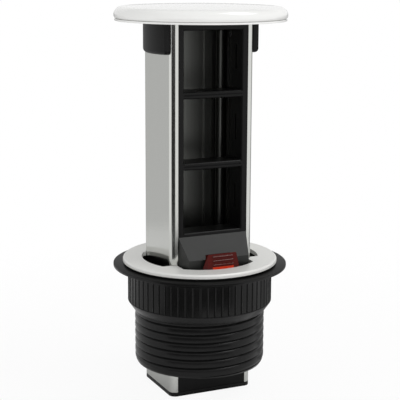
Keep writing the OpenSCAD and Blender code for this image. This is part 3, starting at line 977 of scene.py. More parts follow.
@dataclass
class Tower(Assembly):
    """Aluminium profile with its frame, panel, side blocks, base and screws."""

    half: float = span("tower_profile", "x")[1]
    front: float = span("tower_profile", "y")[0]
    back: float = span("tower_profile", "y")[1]
    wall: float = 2.0
    slot_lip: float = 0.3
    port_back: Point = (5.25, 7.0)
    port_front: Point = (4.25, 10.7)
    port_screw: float = 12.0
    lid_foot: float = span("lid_cover", "z")[0]
    base_seat: float = span("base_cap", "z")[0] + BIG_SCREW["head_height"]
    block_screw: float = 7.0
    block_screw_y: Point = (-3.0, 9.0)
    frame_depth: float = 5.0
    housing_screw: float = 8.0

    def build(self) -> None:
        """Build the profile and all that it carries."""
        profile = self.extrusion()
        self.place(profile, Body.TOWER, ALUMINIUM, "tower_profile")
        # The inside of the profile gets the duller mill finish, darkened as painted shade for the hollow
        self.retint(profile, MILL_ALUMINIUM_SHADED, self.is_inside)
        self.copy("module_frame", "bay_frame", Body.TOWER, BLACK_ABS, bevel=0.35)
        self.copy("lower_panel", "tail_panel", Body.TOWER, BLACK_ABS, bevel=0.3)
        for side in ("left", "right"):
            self.copy("side_block_" + side, "side_lug_" + side, Body.TOWER, BLACK_ABS,
                      bevel=0.5, segments=3, sharp=25.0)
        self.copy("base_cap", "base_plate", Body.TOWER, BLACK_NYLON, bevel=0.4)
        self.copy("cable_grommet", "cable_bush", Body.TOWER, BLACK_RUBBER, bevel=0.4, segments=3)
        self.screws()

    def extrusion(self) -> bpy.types.Object:
        """Draw the profile's end section out to its length, so its sides are clean strips.

        Returns:
            The extrusion.
        """
        low, high = (z * MM for z in span("tower_profile", "z"))
        bm = node_copy("tower_profile")
        rest = [f for f in bm.faces if f.calc_center_median().z < high - MERGE]
        bmesh.ops.delete(bm, geom=rest, context="FACES")
        made = bmesh.ops.extrude_face_region(bm, geom=bm.faces[:])["geom"]
        foot = [v for v in made if isinstance(v, bmesh.types.BMVert)]
        bmesh.ops.translate(bm, vec=(0.0, 0.0, low - high), verts=foot)
        bmesh.ops.recalc_face_normals(bm, faces=bm.faces)
        return finished(bm, "tower_extrusion", bevel=0.25)

    def is_inside(self, middle: Vector, _normal: Vector) -> bool:
        """Tell whether a face lies inside the profile, where it gets the mill finish with painted shade.

        Args:
            middle: Middle of the face in millimetres.
            _normal: The way that it faces, which does not matter here.

        Returns:
            Whether it does.
        """
        x, y, _ = middle
        front = self.front + self.wall + self.slot_lip
        back = self.back - self.wall / 2
        return abs(x) < self.half - self.wall / 2 and front < y < back

    def screws(self) -> None:
        """Fit the three sets of screws."""
        spots = [(self.half - self.port_back[0], self.back - self.port_back[1]),
                 (self.half - self.port_front[0], self.front + self.port_front[1])]
        ports = [(side * x, y) for x, y in spots for side in SIDES]
        seats = [((x, y, height), facing) for height, facing in ((self.lid_foot, UP), (self.base_seat, DOWN))
                 for x, y in ports]
        port = Screws(length=self.port_screw, **BIG_SCREW).fit("profile_screw_set", seats)
        self.place(port, Body.TOWER, ZINC_STEEL, "profile_screws")
        height = sum(span("block_screws", "z")) / 2
        seats = [((side * (self.half - self.wall), y, height), (-side, 0.0, 0.0))
                 for side in SIDES for y in self.block_screw_y]
        lug = Screws(length=self.block_screw, **SMALL_SCREW).fit("lug_screw_set", seats)
        self.place(lug, Body.TOWER, ZINC_STEEL, "block_screws")
        head = SMALL_SCREW["head_radius"]
        low, high = span("housing_screws", "z")
        out = span("housing_screws", "x")[1] - head
        seats = [((side * out, self.front + self.frame_depth, z), (0.0, 1.0, 0.0))
                 for side in SIDES for z in (low + head, high - head)]
        latch = Screws(length=self.housing_screw, **SMALL_SCREW).fit("latch_screw_set", seats)
        self.place(latch, Body.TOWER, ZINC_STEEL, "housing_screws")


@dataclass
class Latch(Assembly):
    """Release housing, red button, its spring and the strike under its foot."""

    spring_radius: float = 3.0
    spring_wire: float = 0.4
    spring_turns: float = 6.0
    spring_steps: int = 24
    wire_steps: int = 8
    spring_reach: Point = span("latch_spring", "y")
    spring_height: float = sum(span("latch_spring", "z")) / 2
    press: float = 2.6
    seat: float = span("release_housing", "y")[1]
    bezel: float = span("bezel_ring", "z")[1]
    pad_back: float = span("release_housing", "y")[0] - 2.9
    pad_depth: Point = (4.0, 1.8)
    pad_half: Point = (12.3, 10.9)
    pad_flare: float = 2.2
    pad_show: Point = (-0.7, 10.1)
    pad_slope: float = 0.6
    stem_gap: float = 0.01
    foot_half: float = 8.0
    foot_low: float = span("release_button", "z")[0]
    foot_drop: float = 0.4
    ribs: int = 3
    rib_first: float = 2.6
    rib_pitch: float = 2.8
    rib_half: Point = (8.2, 0.85)
    rib_proud: float = 1.1
    rib_root: float = 0.5
    rib_steps: int = 8
    # Each rib's end steps in by the first length, and its section grows from the second value to full
    rib_end: Point = (0.6, 0.6)
    # Faces of a rib that stand out this far and face up this much get the painted highlight
    glint_proud: float = 0.15
    glint_up: float = 0.1

    def build(self) -> None:
        """Build the latch."""
        self.copy("release_housing", "latch_housing", Body.TOWER, GREY_ABS, bevel=0.4, segments=3, sharp=20.0)
        button = self.button()
        self.place(button, Body.LATCH, RED_TINTED, "release_button")
        # The ribs' upper faces get the more reflective red: a painted highlight
        self.retint(button, RED_PAINTED_GLINT, self.is_painted_glint)
        self.copy("latch_keeper", "latch_strike", Body.HOUSING, ZINC_STEEL, bevel=0.15)
        spring = self.spring()
        self.place(spring, Body.TOWER, ZINC_STEEL, "latch_spring")
        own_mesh(spring)

    @property
    def spring_run(self) -> Point:
        """First and last place of the spring wire's middle along Y."""
        return self.spring_reach[0] + self.spring_wire, self.spring_reach[1] - self.spring_wire

    @property
    def pad_ends(self) -> tuple[Point, Point]:
        """Front and height of the pad's leaning face, at its lower and its upper edge."""
        low, high = ((self.pad_back - d, self.bezel + z) for d, z in zip(self.pad_depth, self.pad_show))
        return low, high

    def pad_front(self, height: float) -> float:
        """Give the place of the pad's leaning face along Y.

        Args:
            height: Height in millimetres.

        Returns:
            Its place in millimetres.
        """
        (low_front, low), (high_front, high) = self.pad_ends
        lean = (high_front - low_front) / (high - low)
        return low_front + lean * (height - low)

    def button(self) -> bpy.types.Object:
        """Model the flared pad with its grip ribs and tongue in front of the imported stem.

        Returns:
            The button.
        """
        bm = node_copy("release_button")
        whole = bm.verts[:] + bm.edges[:] + bm.faces[:]
        behind = (0.0, (self.pad_back + self.stem_gap) * MM, 0.0)
        cut = bmesh.ops.bisect_plane(bm, geom=whole, dist=MERGE, plane_co=behind,
                                     plane_no=(0.0, 1.0, 0.0), clear_inner=True)["geom_cut"]
        bmesh.ops.holes_fill(bm, edges=[e for e in cut if isinstance(e, bmesh.types.BMEdge)])
        (low_front, low), (high_front, high) = self.pad_ends
        low_half, high_half = self.pad_half
        add_solid(bm, [(side * half, y, z) for side in SIDES for half, y, z in (
            (low_half, low_front, low), (low_half + self.pad_flare, self.pad_back, low),
            (high_half, high_front, high), (high_half, self.pad_back, high - self.pad_slope))])
        depths = (span("release_button", "y")[0], self.pad_back)
        heights = (self.foot_low, self.bezel - self.foot_drop)
        add_solid(bm, [(side * self.foot_half, y, z) for side in SIDES for y in depths for z in heights])
        for k in range(self.ribs):
            add_solid(bm, self.rib(self.bezel + self.rib_first + k * self.rib_pitch))
        bmesh.ops.recalc_face_normals(bm, faces=bm.faces)
        return finished(bm, "latch_button", bevel=0.3, segments=3, sharp=30.0)

    def rib(self, middle: float) -> list[Place]:
        """List the corners of one half-round grip rib.

        Args:
            middle: Height of its middle in millimetres.

        Returns:
            The corners in millimetres.
        """
        wide, tall = self.rib_half
        root = self.pad_front(middle) + self.rib_root
        inset, small = self.rib_end
        half_round = arc((0.0, 0.0), 1.0, -90.0, 90.0, self.rib_steps)
        return [(side * (wide - step), root - (self.rib_proud + self.rib_root) * share * out,
                 middle + tall * share * up)
                for side in SIDES for step, share in ((0.0, small), (inset, 1.0)) for out, up in half_round]

    def is_painted_glint(self, middle: Vector, normal: Vector) -> bool:
        """Tell whether a face is on the upper side of a grip rib, which gets the painted highlight.

        Args:
            middle: Middle of the face in millimetres.
            normal: The way that it faces.

        Returns:
            Whether it is.
        """
        x, y, z = middle
        wide, tall = self.rib_half
        on_rib = abs(x) < wide and z > self.bezel + self.rib_first - tall
        return on_rib and self.pad_front(z) - y > self.glint_proud and normal.z > self.glint_up

    def spring(self) -> bpy.types.Object:
        """Wind the return spring along Y.

        Returns:
            The spring.
        """
        start, end = self.spring_run
        form = FormTree("spring_form")
        lengths = {"Radius": self.spring_radius, "Wire": self.spring_wire, "Length": end - start,
                   "Start": start, "Height": self.spring_height}
        sizes = {name: form.size(name) for name in ("Turns", *lengths)}
        coil = form.add("GeometryNodeCurveSpiral", values={"Resolution": self.spring_steps}, links={
            "Rotations": sizes["Turns"], "Start Radius": sizes["Radius"], "End Radius": sizes["Radius"],
            "Height": sizes["Length"]})
        wire = form.add("GeometryNodeCurvePrimitiveCircle", values={"Resolution": self.wire_steps},
                        links={"Radius": sizes["Wire"]})
        tube = form.add("GeometryNodeCurveToMesh", values={"Fill Caps": True}, links={0: coil, 1: wire})
        spot = form.add("ShaderNodeCombineXYZ", links={"Y": sizes["Start"], "Z": sizes["Height"]})
        lying = form.add("GeometryNodeTransform", values={"Rotation": (-math.pi / 2, 0.0, 0.0)},
                         links={"Geometry": tube, "Translation": spot})
        form.close(lying, ZINC_STEEL.material())
        values = {"Turns": self.spring_turns} | {name: length * MM for name, length in lengths.items()}
        piece = form.make("latch_return_spring", bpy.data.meshes.new("spring"), values)
        shade(piece.data, WIRE_DEG)
        return piece


# The thread's rule on a flat grid: each line names a value and gives the sum that it comes from.
# One grid width is one turn, and its rows climb with the helix. Names with capitals are the tree's
# inputs, and lengths are in metres.
THREAD_RULE: tuple[tuple[str, str, Term, Term], ...] = (
    ("turn", "ADD", "across", 0.5),
    ("half_length", "MULTIPLY", "Length", 0.5),
    ("middle", "SUBTRACT", "Top", "half_length"),
    ("along", "ADD", "up", "middle"),
    ("climb", "MULTIPLY", "turn", "Pitch"),
    ("risen", "ADD", "along", "climb"),
    ("lifted", "MAXIMUM", "risen", "Bottom"),
    ("height", "MINIMUM", "lifted", "Top"),
    ("over_first", "SUBTRACT", "along", "First"),
    ("count", "DIVIDE", "over_first", "Pitch"),
    ("groove_number", "ROUND", "count", 0.0),
    ("aside", "SUBTRACT", "count", "groove_number"),
    ("distance", "ABSOLUTE", "aside", 0.0),
    ("off", "MULTIPLY", "distance", "Pitch"),
    ("off_share", "DIVIDE", "off", "Groove Half"),
    ("off_part", "MINIMUM", "off_share", 1.0),
    ("near", "SUBTRACT", 1.0, "off_part"),
    ("bow", "POWER", "near", "Groove Bow"),
    ("groove_cut", "MULTIPLY", "bow", "Groove Depth"),
    ("twice", "MULTIPLY", "distance", 2.0),
    ("off_ridge", "SUBTRACT", 1.0, "twice"),
    ("swell", "POWER", "off_ridge", 2.0),
    ("crown", "MULTIPLY", "swell", "Crown"),
    ("depth", "ADD", "groove_cut", "crown"),
    ("made", "ADD", "groove_number", "turn"),
    ("reach", "SUBTRACT", "Last", "First"),
    ("turns", "DIVIDE", "reach", "Pitch"),
    ("left", "SUBTRACT", "turns", "made"),
    ("to_end", "MINIMUM", "made", "left"),
    ("fade_quick", "MULTIPLY", "to_end", "Fade"),
    ("over_rim", "SUBTRACT", "height", "Bottom"),
    ("rim_quick", "DIVIDE", "over_rim", "Rim Blend"),
    ("rim_share", "MINIMUM", "rim_quick", 1.0),
    ("fade_high", "MINIMUM", "fade_quick", 1.0),
    ("fade", "MAXIMUM", "fade_high", 0.0),
    ("cut", "MULTIPLY", "depth", "fade"),
    ("under_lead", "SUBTRACT", "Lead", "height"),
    ("lead_part", "MAXIMUM", "under_lead", 0.0),
    ("lead_in", "MULTIPLY", "lead_part", "Lead Slope"),
    ("under_tip", "SUBTRACT", "Tip", "height"),
    ("tip_part", "MAXIMUM", "under_tip", 0.0),
    ("tip_in", "MULTIPLY", "tip_part", "Tip Slope"),
    ("full", "SUBTRACT", "Crest", "lead_in"),
    ("outside", "SUBTRACT", "full", "tip_in"),
    ("groove_floor", "SUBTRACT", "Crest", "cut"),
    ("cut_side", "MINIMUM", "outside", "groove_floor"),
    ("rim_side", "SUBTRACT", "cut_side", "outside"),
    ("rim_cut", "MULTIPLY", "rim_side", "rim_share"),
    ("radius", "ADD", "outside", "rim_cut"),
    ("swept", "MULTIPLY", "turn", 2 * math.pi),
    ("angle", "ADD", "swept", "Angle"),
    ("cosine", "COSINE", "angle", 0.0),
    ("sine", "SINE", "angle", 0.0),
    ("x", "MULTIPLY", "radius", "cosine"),
    ("y", "MULTIPLY", "radius", "sine"),
)


@dataclass
class Collar(Assembly):
    """Threaded barrel with its flange, the bezel, the liner and its glide pads."""

    crest: float = span("clamp_nut", "x")[1] - 5.2
    wall: float = 4.6
    bottom: float = span("mounting_barrel", "z")[0]
    # How far the barrel's outside lies inside the crests, and at which height over its foot
    taper: tuple[Point, ...] = ((1.7, 0.0), (0.8, 1.4), (0.0, 4.5))
    rim: float = 0.3
    rim_blend: float = 0.3
    seat_radius: float = span("clamp_nut", "x")[1] + 0.65
    relief: float = 0.4
    flange: float = span("mounting_barrel", "x")[1]
    flange_top: float = 2.0
    neck: float = span("bezel_ring", "x")[1] - 2.4
    bezel_foot: float = span("bezel_ring", "z")[0]
    liner_seat: Point = (span("guide_liner", "x")[1] + 0.05, span("bezel_ring", "z")[0] - 2.0)
    soft: float = 0.2
    bore_round: float = 0.4
    flange_round: float = 0.3
    relief_round: float = 0.1
    pitch: float = 6.2
    groove: float = 1.0
    groove_half: float = 1.15
    groove_bow: float = 1.4
    crown: float = 0.35
    # The groove gains its full depth this many times over in one turn
    fade: float = 7.5
    thread_foot: float = 0.37
    thread_end: float = -4.0
    thread_start: float = 197.0
    columns: int = 120
    rows_per_turn: int = 25
    screw_radius: float = span("bezel_ring", "x")[1] - 5.8
    screw_seat: float = 2.0
    screw_angles: tuple[float, ...] = (45.0, 135.0, 225.0, 315.0)
    screw_length: float = 3.3
    # Faces that face up this much, up to this far over the flange, are its textured face
    texture_up: float = 0.5
    texture_over: float = 0.2

    def build(self) -> None:
        """Build the collar."""
        barrel = self.barrel()
        self.place(barrel, Body.HOUSING, BLACK_NYLON, "mounting_barrel")
        self.retint(barrel, MATT_NYLON, self.is_textured)
        self.copy("bezel_ring", "bezel_plate", Body.HOUSING, SATIN_CAST, bevel=0.3, segments=3)
        self.copy("guide_liner", "tower_guide", Body.HOUSING, BLACK_NYLON, bevel=0.3)
        self.copy("glide_pads", "glide_strips", Body.HOUSING, NATURAL_NYLON, bevel=0.3)
        seats = ring_seats(self.screw_radius, self.screw_seat, self.screw_angles)
        screws = Screws(length=self.screw_length, **SMALL_SCREW).fit("bezel_screw_set", seats)
        self.place(screws, Body.HOUSING, ZINC_STEEL, "bezel_screws")

    def is_textured(self, middle: Vector, normal: Vector) -> bool:
        """Tell whether a face is part of the flange's upper face.

        Args:
            middle: Middle of the face in millimetres.
            normal: The way that it faces.

        Returns:
            Whether it is.
        """
        x, y, z = middle
        upper = normal.z > self.texture_up and z < self.flange_top + self.texture_over
        return upper and math.hypot(x, y) > self.neck

    def body_section(self) -> list[Point]:
        """Draw the half section of the barrel from the thread's foot round to its top.

        Returns:
            Radius and height of each point in millimetres.
        """
        bore = self.crest - self.wall
        seat_r, seat_z = self.liner_seat
        (tip, _), (shoulder, rise) = self.taper[:2]
        inset = tip - (tip - shoulder) * self.rim / rise
        soft = self.soft
        return rounded_path([
            (self.crest - inset, self.bottom + self.rim, 0), (self.crest - tip, self.bottom, soft),
            (bore, self.bottom, self.bore_round), (bore, seat_z, soft), (seat_r, seat_z, soft),
            (seat_r, self.bezel_foot, soft), (self.neck, self.bezel_foot, soft),
            (self.neck, self.flange_top, soft), (self.flange, self.flange_top, self.flange_round),
            (self.flange, 0.0, self.flange_round), (self.seat_radius, 0.0, self.relief_round),
            (self.seat_radius, self.relief, self.relief_round), (self.crest, self.relief, 0),
        ])

    def barrel(self) -> bpy.types.Object:
        """Run the thread's rule on a sheared grid and close it with the turned body.

        Returns:
            The barrel with its flange.
        """
        section = self.body_section()
        low, high = section[0][1], section[-1][1]
        length = high - low + self.pitch
        (tip, _), (shoulder, rise), (_, lead) = self.taper
        slope = shoulder / (lead - rise)
        lengths = {
            "Crest": self.crest, "Pitch": self.pitch, "Groove Depth": self.groove,
            "Groove Half": self.groove_half, "Crown": self.crown, "First": self.bottom + self.thread_foot,
            "Last": self.thread_end, "Bottom": low, "Top": high, "Length": length,
            "Lead": self.bottom + lead, "Tip": self.bottom + rise, "Rim Blend": self.rim_blend}
        shares = {
            "Lead Slope": slope, "Tip Slope": (tip - shoulder) / rise - slope, "Groove Bow": self.groove_bow,
            "Fade": self.fade, "Angle": math.radians(self.thread_start)}
        counts = {
            "Columns": self.columns + 1,
            "Rows": round(length / self.pitch * self.rows_per_turn) + 1}

        form = FormTree("thread_form")
        known = {name: form.size(name) for name in (*lengths, *shares)}
        columns, rows = (form.size(name, "Int") for name in counts)
        grid = form.add("GeometryNodeMeshGrid", values={"Size X": 1.0},
                        links={"Size Y": known["Length"], "Vertices X": columns, "Vertices Y": rows})
        spot = add_node(form.tree, "ShaderNodeSeparateXYZ", links={0: form.add("GeometryNodeInputPosition")})
        known |= {"across": spot.outputs["X"], "up": spot.outputs["Y"]}
        for name, operation, *terms in THREAD_RULE:
            links = {k: known[term] for k, term in enumerate(terms) if isinstance(term, str)}
            values = {k: term for k, term in enumerate(terms) if k not in links}
            known[name] = form.add("ShaderNodeMath", {"operation": operation}, values, links)
        point = form.add("ShaderNodeCombineXYZ",
                         links={"X": known["x"], "Y": known["y"], "Z": known["height"]})
        thread = form.add("GeometryNodeSetPosition", links={"Geometry": grid, "Position": point})
        whole_body = form.add("GeometryNodeMergeByDistance", values={"Distance": MERGE},
                              links={0: form.joined(thread, form.geometry)})
        form.close(whole_body, BLACK_NYLON.material())

        turned = lathe(section, self.columns, closed=False)
        turned.transform(Matrix.Rotation(math.radians(self.thread_start), 4, "Z"))
        metres = {name: size * MM for name, size in lengths.items()}
        piece = form.make("threaded_barrel", turned, metres | shares | counts)
        clean = bmesh.new()
        clean.from_mesh(piece.data)
        bmesh.ops.dissolve_degenerate(clean, edges=clean.edges, dist=MERGE / 4)
        bmesh.ops.recalc_face_normals(clean, faces=clean.faces)
        clean.to_mesh(piece.data)
        clean.free()
        shade(piece.data, THREAD_DEG)
        return piece


@dataclass
class Clamp(Assembly):
    """Pressure washer and the fluted clamp nut."""

    radius: float = span("clamp_nut", "x")[1]
    wall: float = 4.85
    # A hair under the washer, so that the turning faces never share a plane
    top: float = span("clamp_nut", "z")[1] - 0.03
    low: float = span("clamp_nut", "z")[0]
    land: float = 0.5
    bevel: float = 6.2
    ribs: int = 64
    rib_depth: float = 0.5
    rib_half: float = 0.85
    rib_over: float = 0.5
    rib_under: float = 1.8
    rib_start: float = 245.9
    # A rib ends this far under the crest, starts this deep in the core and runs into both lands
    rib_short: float = 0.02
    rib_root: float = 0.4
    rib_bury: float = 0.2
    rib_steps: int = 6
    soft: float = 0.2
    rib_round: float = 0.15
    top_round: float = 0.25
    bore_round: float = 0.3
    bevel_round: float = 0.8
    seam: float = 0.01
    around: int = 192

    def build(self) -> None:
        """Build the washer and the nut."""
        self.copy("clamp_washer", "pressure_washer", Body.WASHER, NATURAL_NYLON, bevel=0.3)
        self.place(self.nut(), Body.NUT, BLACK_NYLON, "clamp_nut")

    @property
    def rib_span(self) -> Point:
        """Lower and upper end of the ribs."""
        return self.low + self.bevel + self.rib_over, self.top - self.rib_under

    def core_section(self) -> list[Point]:
        """Draw the half section of the nut inside its flutes.

        Returns:
            Radius and height of each point in millimetres.
        """
        bore = self.radius - self.wall
        core = self.radius - self.rib_depth
        rib_low, rib_high = self.rib_span
        return rounded_path([
            (bore, self.low, 0), (bore, self.top, self.bore_round), (self.radius, self.top, self.top_round),
            (self.radius, rib_high, self.rib_round), (core, rib_high, self.rib_round),
            (core, rib_low, self.rib_round), (self.radius, rib_low, self.soft),
            (self.radius, self.low + self.bevel, self.bevel_round), (bore + self.land, self.low, self.soft),
            (bore + self.seam, self.low, 0),
        ])

    def rib_outline(self) -> list[Point]:
        """Draw one rib's section between two flutes, on the X axis.

        Returns:
            Corners of the section in millimetres.
        """
        foot = self.radius - self.rib_depth
        steps = self.rib_steps
        waves = [(self.rib_half * k / steps, (1 + math.cos(math.pi * k / steps)) / 2)
                 for k in range(steps + 1)]
        right = [(foot + (self.rib_depth - self.rib_short) * rise, y) for y, rise in waves]
        outline = right[::-1] + [(x, -y) for x, y in right[1:]]
        root = foot - self.rib_root
        return [(root, self.rib_half)] + outline + [(root, -self.rib_half)]

    def nut(self) -> bpy.types.Object:
        """Stand the ribs round the turned core.

        Returns:
            The nut.
        """
        form = FormTree("rib_form")
        count, start = form.size("Ribs", "Int"), form.size("Start")
        core = form.size("Core", "Object")
        ring = form.add("GeometryNodeMeshCircle", values={"Radius": 0.0}, links={"Vertices": count})
        order = form.add("GeometryNodeInputIndex")
        share = form.add("ShaderNodeMath", {"operation": "DIVIDE"}, links={0: order, 1: count})
        angle = form.add("ShaderNodeMath", {"operation": "MULTIPLY_ADD"},
                         {1: 2 * math.pi}, {0: share, 2: start})
        turn = form.add("FunctionNodeAxisAngleToRotation", values={0: UP}, links={1: angle})
        ribs = form.add("GeometryNodeInstanceOnPoints",
                        links={"Points": ring, "Instance": form.geometry, "Rotation": turn})
        body = add_node(form.tree, "GeometryNodeObjectInfo", links={0: core}).outputs["Geometry"]
        form.close(form.joined(ribs, body), BLACK_NYLON.material())

        low, high = self.rib_span
        rib = prism(self.rib_outline(), low - self.rib_bury, high + self.rib_bury)
        turned = bpy.data.objects.new("nut_core", lathe(self.core_section(), self.around))
        piece = form.make("fluted_nut", rib, {
            "Ribs": self.ribs, "Start": math.radians(self.rib_start), "Core": turned})
        bpy.data.objects.remove(turned)
        shade(piece.data, THREAD_DEG)
        return piece


# Studio


@dataclass(frozen=True)
class Flag:
    """A card beside the object: heading from the X axis and half width in degrees, and brightness."""

    heading: float
    half: float
    level: float


@dataclass(frozen=True)
class FloorFlag(Flag):
    """A card on the floor, which reaches from one distance to another in metres."""

    near: float
    far: float


@dataclass(frozen=True)
class Softbox:
    """A square lamp: its place and side in metres, its power in watts, and whether gloss mirrors it."""

    name: str
    spot: Place
    side: float
    power: float
    mirrored: bool


@dataclass
class Studio:
    """Floor, light, sky and camera. Lengths are in metres and angles in degrees."""

    floor_height: float = CAD_BOX[0][2]
    floor_drop: float = 0.0002
    floor_radius: float = 0.55
    floor_steps: int = 96
    floor_paint: str = "#f2f2f2"
    # The camera sees this share of the surround through the floor, near the object and far from it
    floor_clear: Point = (0.92, 1.0)
    clear_near: float = 0.15
    clear_far_share: float = 0.9
    camera_at: Place = (-0.35365, -0.76438, 0.2227)
    camera_turn: float = -24.83
    camera_dip: float = 11.716
    camera_roll: float = 0.27
    lens: float = 105.5
    sensor: float = 36.0
    # Brightness of the surround: as gloss mirrors it, as it lights the object, and its upper parts
    mirrored: float = 1.0
    ambient: float = 0.66
    horizon: float = 0.9
    ceiling: float = 0.45
    # Sines of the heights between which the walls turn to horizon, and the horizon to ceiling
    horizon_rise: Point = (0.005, 0.03)
    ceiling_rise: Point = (0.35, 0.7)
    flag_blur: float = 3.0
    wall_flags: tuple[Flag, ...] = (
        Flag(215.0, 32.0, 0.03), Flag(55.0, 50.0, 0.4), Flag(114.0, 12.0, 0.6))
    floor_flags: tuple[FloorFlag, ...] = (
        FloorFlag(45.0, 52.0, 0.35, 0.0, 0.6), FloorFlag(245.0, 50.0, 0.014, 0.2, 0.54))
    lamps: tuple[Softbox, ...] = (
        Softbox("overhead_softbox", (0.55, -0.4, 1.2), 0.6, 4.4, True),
        Softbox("front_fill", (-0.3, -1.5, 0.3), 1.2, 6.0, False),
        Softbox("left_fill", (-1.5, 0.2, 0.6), 1.0, 1.5, False))
    lamp_target: Place = (0.0, 0.0, 0.06)

    def build(self) -> None:
        """Build all of the studio."""
        self.floor()
        self.sky()
        for lamp in self.lamps:
            self.hang(lamp)
        self.camera()
        bpy.context.scene.view_settings.view_transform = "Standard"

    def cover(
        self, tree: bpy.types.NodeTree, way: bpy.types.NodeSocket, flag: Flag
    ) -> bpy.types.NodeSocket:
        """Work out whether a direction lies on a flag.

        Args:
            tree: Tree that the nodes go into.
            way: Direction or place as seen from the object.
            flag: The flag.

        Returns:
            Socket that is 1 on the flag and 0 beside it.
        """
        turn = math.radians(flag.heading)
        flat = add_node(tree, "ShaderNodeVectorMath", {"operation": "MULTIPLY"},
                        {1: (1.0, 1.0, 0.0)}, {0: way})
        heading = add_node(tree, "ShaderNodeVectorMath", {"operation": "NORMALIZE"},
                           links={0: flat.outputs[0]})
        facing = add_node(tree, "ShaderNodeVectorMath", {"operation": "DOT_PRODUCT"},
                          {1: (math.cos(turn), math.sin(turn), 0.0)}, {0: heading.outputs[0]})
        blurs = (self.flag_blur, -self.flag_blur)
        outer, inner = (math.cos(math.radians(flag.half + blur)) for blur in blurs)
        return add_node(tree, "ShaderNodeMapRange", {"interpolation_type": "SMOOTHSTEP"},
                        {"From Min": outer, "From Max": inner},
                        {"Value": facing.outputs["Value"]}).outputs["Result"]

    def floor(self) -> None:
        """Lay a floor that keeps a soft shadow and through which the camera sees the surround."""
        mesh = lathe([(0.0, 0.0), (self.floor_radius / MM, 0.0)], self.floor_steps, closed=False)
        mesh.transform(Matrix.Translation((0.0, 0.0, self.floor_height - self.floor_drop)))
        if mesh.polygons[0].normal.z < 0:
            mesh.flip_normals()
        floor = new_piece("studio_floor", mesh)
        material = bpy.data.materials.new("white_floor")
        material.use_nodes = True
        tree = material.node_tree
        tree.nodes.clear()
        place = add_node(tree, "ShaderNodeTexCoord").outputs["Object"]
        path = add_node(tree, "ShaderNodeLightPath")
        away = add_node(tree, "ShaderNodeVectorMath", {"operation": "LENGTH"},
                        links={0: place}).outputs["Value"]
        paint = add_node(tree, "ShaderNodeBsdfDiffuse", values={"Color": linear(self.floor_paint)})
        for flag in self.floor_flags:
            band = add_node(tree, "ShaderNodeMath", {"operation": "COMPARE"},
                            {1: (flag.near + flag.far) / 2, 2: (flag.far - flag.near) / 2}, {0: away})
            card = add_node(tree, "ShaderNodeMath", {"operation": "MULTIPLY"},
                            links={0: band.outputs[0], 1: self.cover(tree, place, flag)})
            shown = add_node(tree, "ShaderNodeMath", {"operation": "MULTIPLY"},
                             links={0: card.outputs[0], 1: path.outputs["Is Glossy Ray"]})
            grey = add_node(tree, "ShaderNodeBsdfDiffuse", values={"Color": (flag.level,) * 3 + (1.0,)})
            paint = add_node(tree, "ShaderNodeMixShader",
                             links={0: shown.outputs[0], 1: paint.outputs[0], 2: grey.outputs[0]})
        clear = add_node(tree, "ShaderNodeBsdfTransparent", values={"Color": (1.0, 1.0, 1.0, 1.0)})
        share = add_node(tree, "ShaderNodeMapRange", {"interpolation_type": "SMOOTHSTEP"},
                         {"From Min": self.clear_near, "From Max": self.clear_far_share * self.floor_radius,
                          "To Min": self.floor_clear[0], "To Max": self.floor_clear[1]}, {"Value": away})
        seen = add_node(tree, "ShaderNodeMath", {"operation": "MULTIPLY"},
                        links={0: path.outputs["Is Camera Ray"], 1: share.outputs["Result"]})
        mix = add_node(tree, "ShaderNodeMixShader",
                       links={0: seen.outputs[0], 1: paint.outputs[0], 2: clear.outputs[0]})
        add_node(tree, "ShaderNodeOutputMaterial", links={"Surface": mix.outputs[0]})
        mesh.materials.append(material)

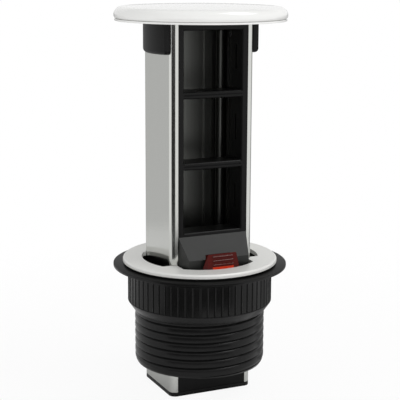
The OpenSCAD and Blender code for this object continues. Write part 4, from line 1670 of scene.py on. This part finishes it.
    def sky(self) -> None:
        """Set a white surround with flags, which the metal mirrors."""
        world = bpy.data.worlds.new("studio_surround")
        bpy.context.scene.world = world
        world.use_nodes = True
        tree = world.node_tree
        tree.nodes.clear()
        blend = {"data_type": "FLOAT"}
        way = add_node(tree, "ShaderNodeTexCoord").outputs["Generated"]
        first, *others = self.wall_flags
        wall = add_node(tree, "ShaderNodeMix", blend, {MIX_FROM: self.mirrored, MIX_TO: first.level},
                        {MIX_SHARE: self.cover(tree, way, first)})
        for flag in others:
            wall = add_node(tree, "ShaderNodeMix", blend, {MIX_TO: flag.level},
                            {MIX_SHARE: self.cover(tree, way, flag), MIX_FROM: wall.outputs[0]})
        height = add_node(tree, "ShaderNodeSeparateXYZ", links={0: way}).outputs["Z"]
        room = wall
        for (start, end), brightness in (
                (self.horizon_rise, self.horizon), (self.ceiling_rise, self.ceiling)):
            above = add_node(tree, "ShaderNodeMapRange", {"interpolation_type": "SMOOTHSTEP"},
                             {"From Min": start, "From Max": end}, {"Value": height})
            room = add_node(tree, "ShaderNodeMix", blend, {MIX_TO: brightness},
                            {MIX_SHARE: above.outputs["Result"], MIX_FROM: room.outputs[0]})
        path = add_node(tree, "ShaderNodeLightPath")
        mirror = add_node(tree, "ShaderNodeMath", {"operation": "MAXIMUM"},
                          links={0: path.outputs["Is Glossy Ray"], 1: path.outputs["Is Transmission Ray"]})
        light = add_node(tree, "ShaderNodeMix", blend, {MIX_FROM: self.ambient},
                         {MIX_SHARE: mirror.outputs[0], MIX_TO: room.outputs[0]})
        level = add_node(tree, "ShaderNodeMath", {"operation": "MAXIMUM"},
                         links={0: path.outputs["Is Camera Ray"], 1: light.outputs[0]})
        back = add_node(tree, "ShaderNodeBackground", values={"Color": (1.0, 1.0, 1.0, 1.0)},
                        links={"Strength": level.outputs[0]})
        add_node(tree, "ShaderNodeOutputWorld", links={"Surface": back.outputs[0]})

    def hang(self, box: Softbox) -> None:
        """Hang a softbox aimed at the tower.

        Args:
            box: The softbox.
        """
        light = bpy.data.lights.new(box.name, "AREA")
        light.shape = "SQUARE"
        light.size = box.side
        light.energy = box.power
        lamp = bpy.data.objects.new(box.name, light)
        bpy.context.scene.collection.objects.link(lamp)
        lamp.location = box.spot
        lamp.visible_glossy = box.mirrored
        aim = Vector(self.lamp_target) - Vector(box.spot)
        lamp.rotation_euler = aim.to_track_quat("-Z", "Y").to_euler()

    def camera(self) -> None:
        """Set the camera where the photograph was taken."""
        view = bpy.data.cameras.new("photo_camera")
        view.lens = self.lens
        view.sensor_width = self.sensor
        camera = bpy.data.objects.new("photo_camera", view)
        bpy.context.scene.collection.objects.link(camera)
        camera.location = self.camera_at
        tilt, turn = math.radians(90.0 - self.camera_dip), math.radians(self.camera_turn)
        aim = Euler((tilt, 0.0, turn)).to_matrix()
        roll = Matrix.Rotation(math.radians(self.camera_roll), 3, "Z")
        camera.rotation_euler = (aim @ roll).to_euler()
        bpy.context.scene.camera = camera


def main() -> None:
    """Build the studio and every sub-assembly."""
    logging.basicConfig(level=logging.INFO, format="%(name)s: %(message)s")
    Studio().build()
    for part in (Collar(), Clamp(), Tower(), Lid(), Latch()):
        LOG.info("building %s", type(part).__name__)
        part.build()


if __name__ == "__main__":
    main()
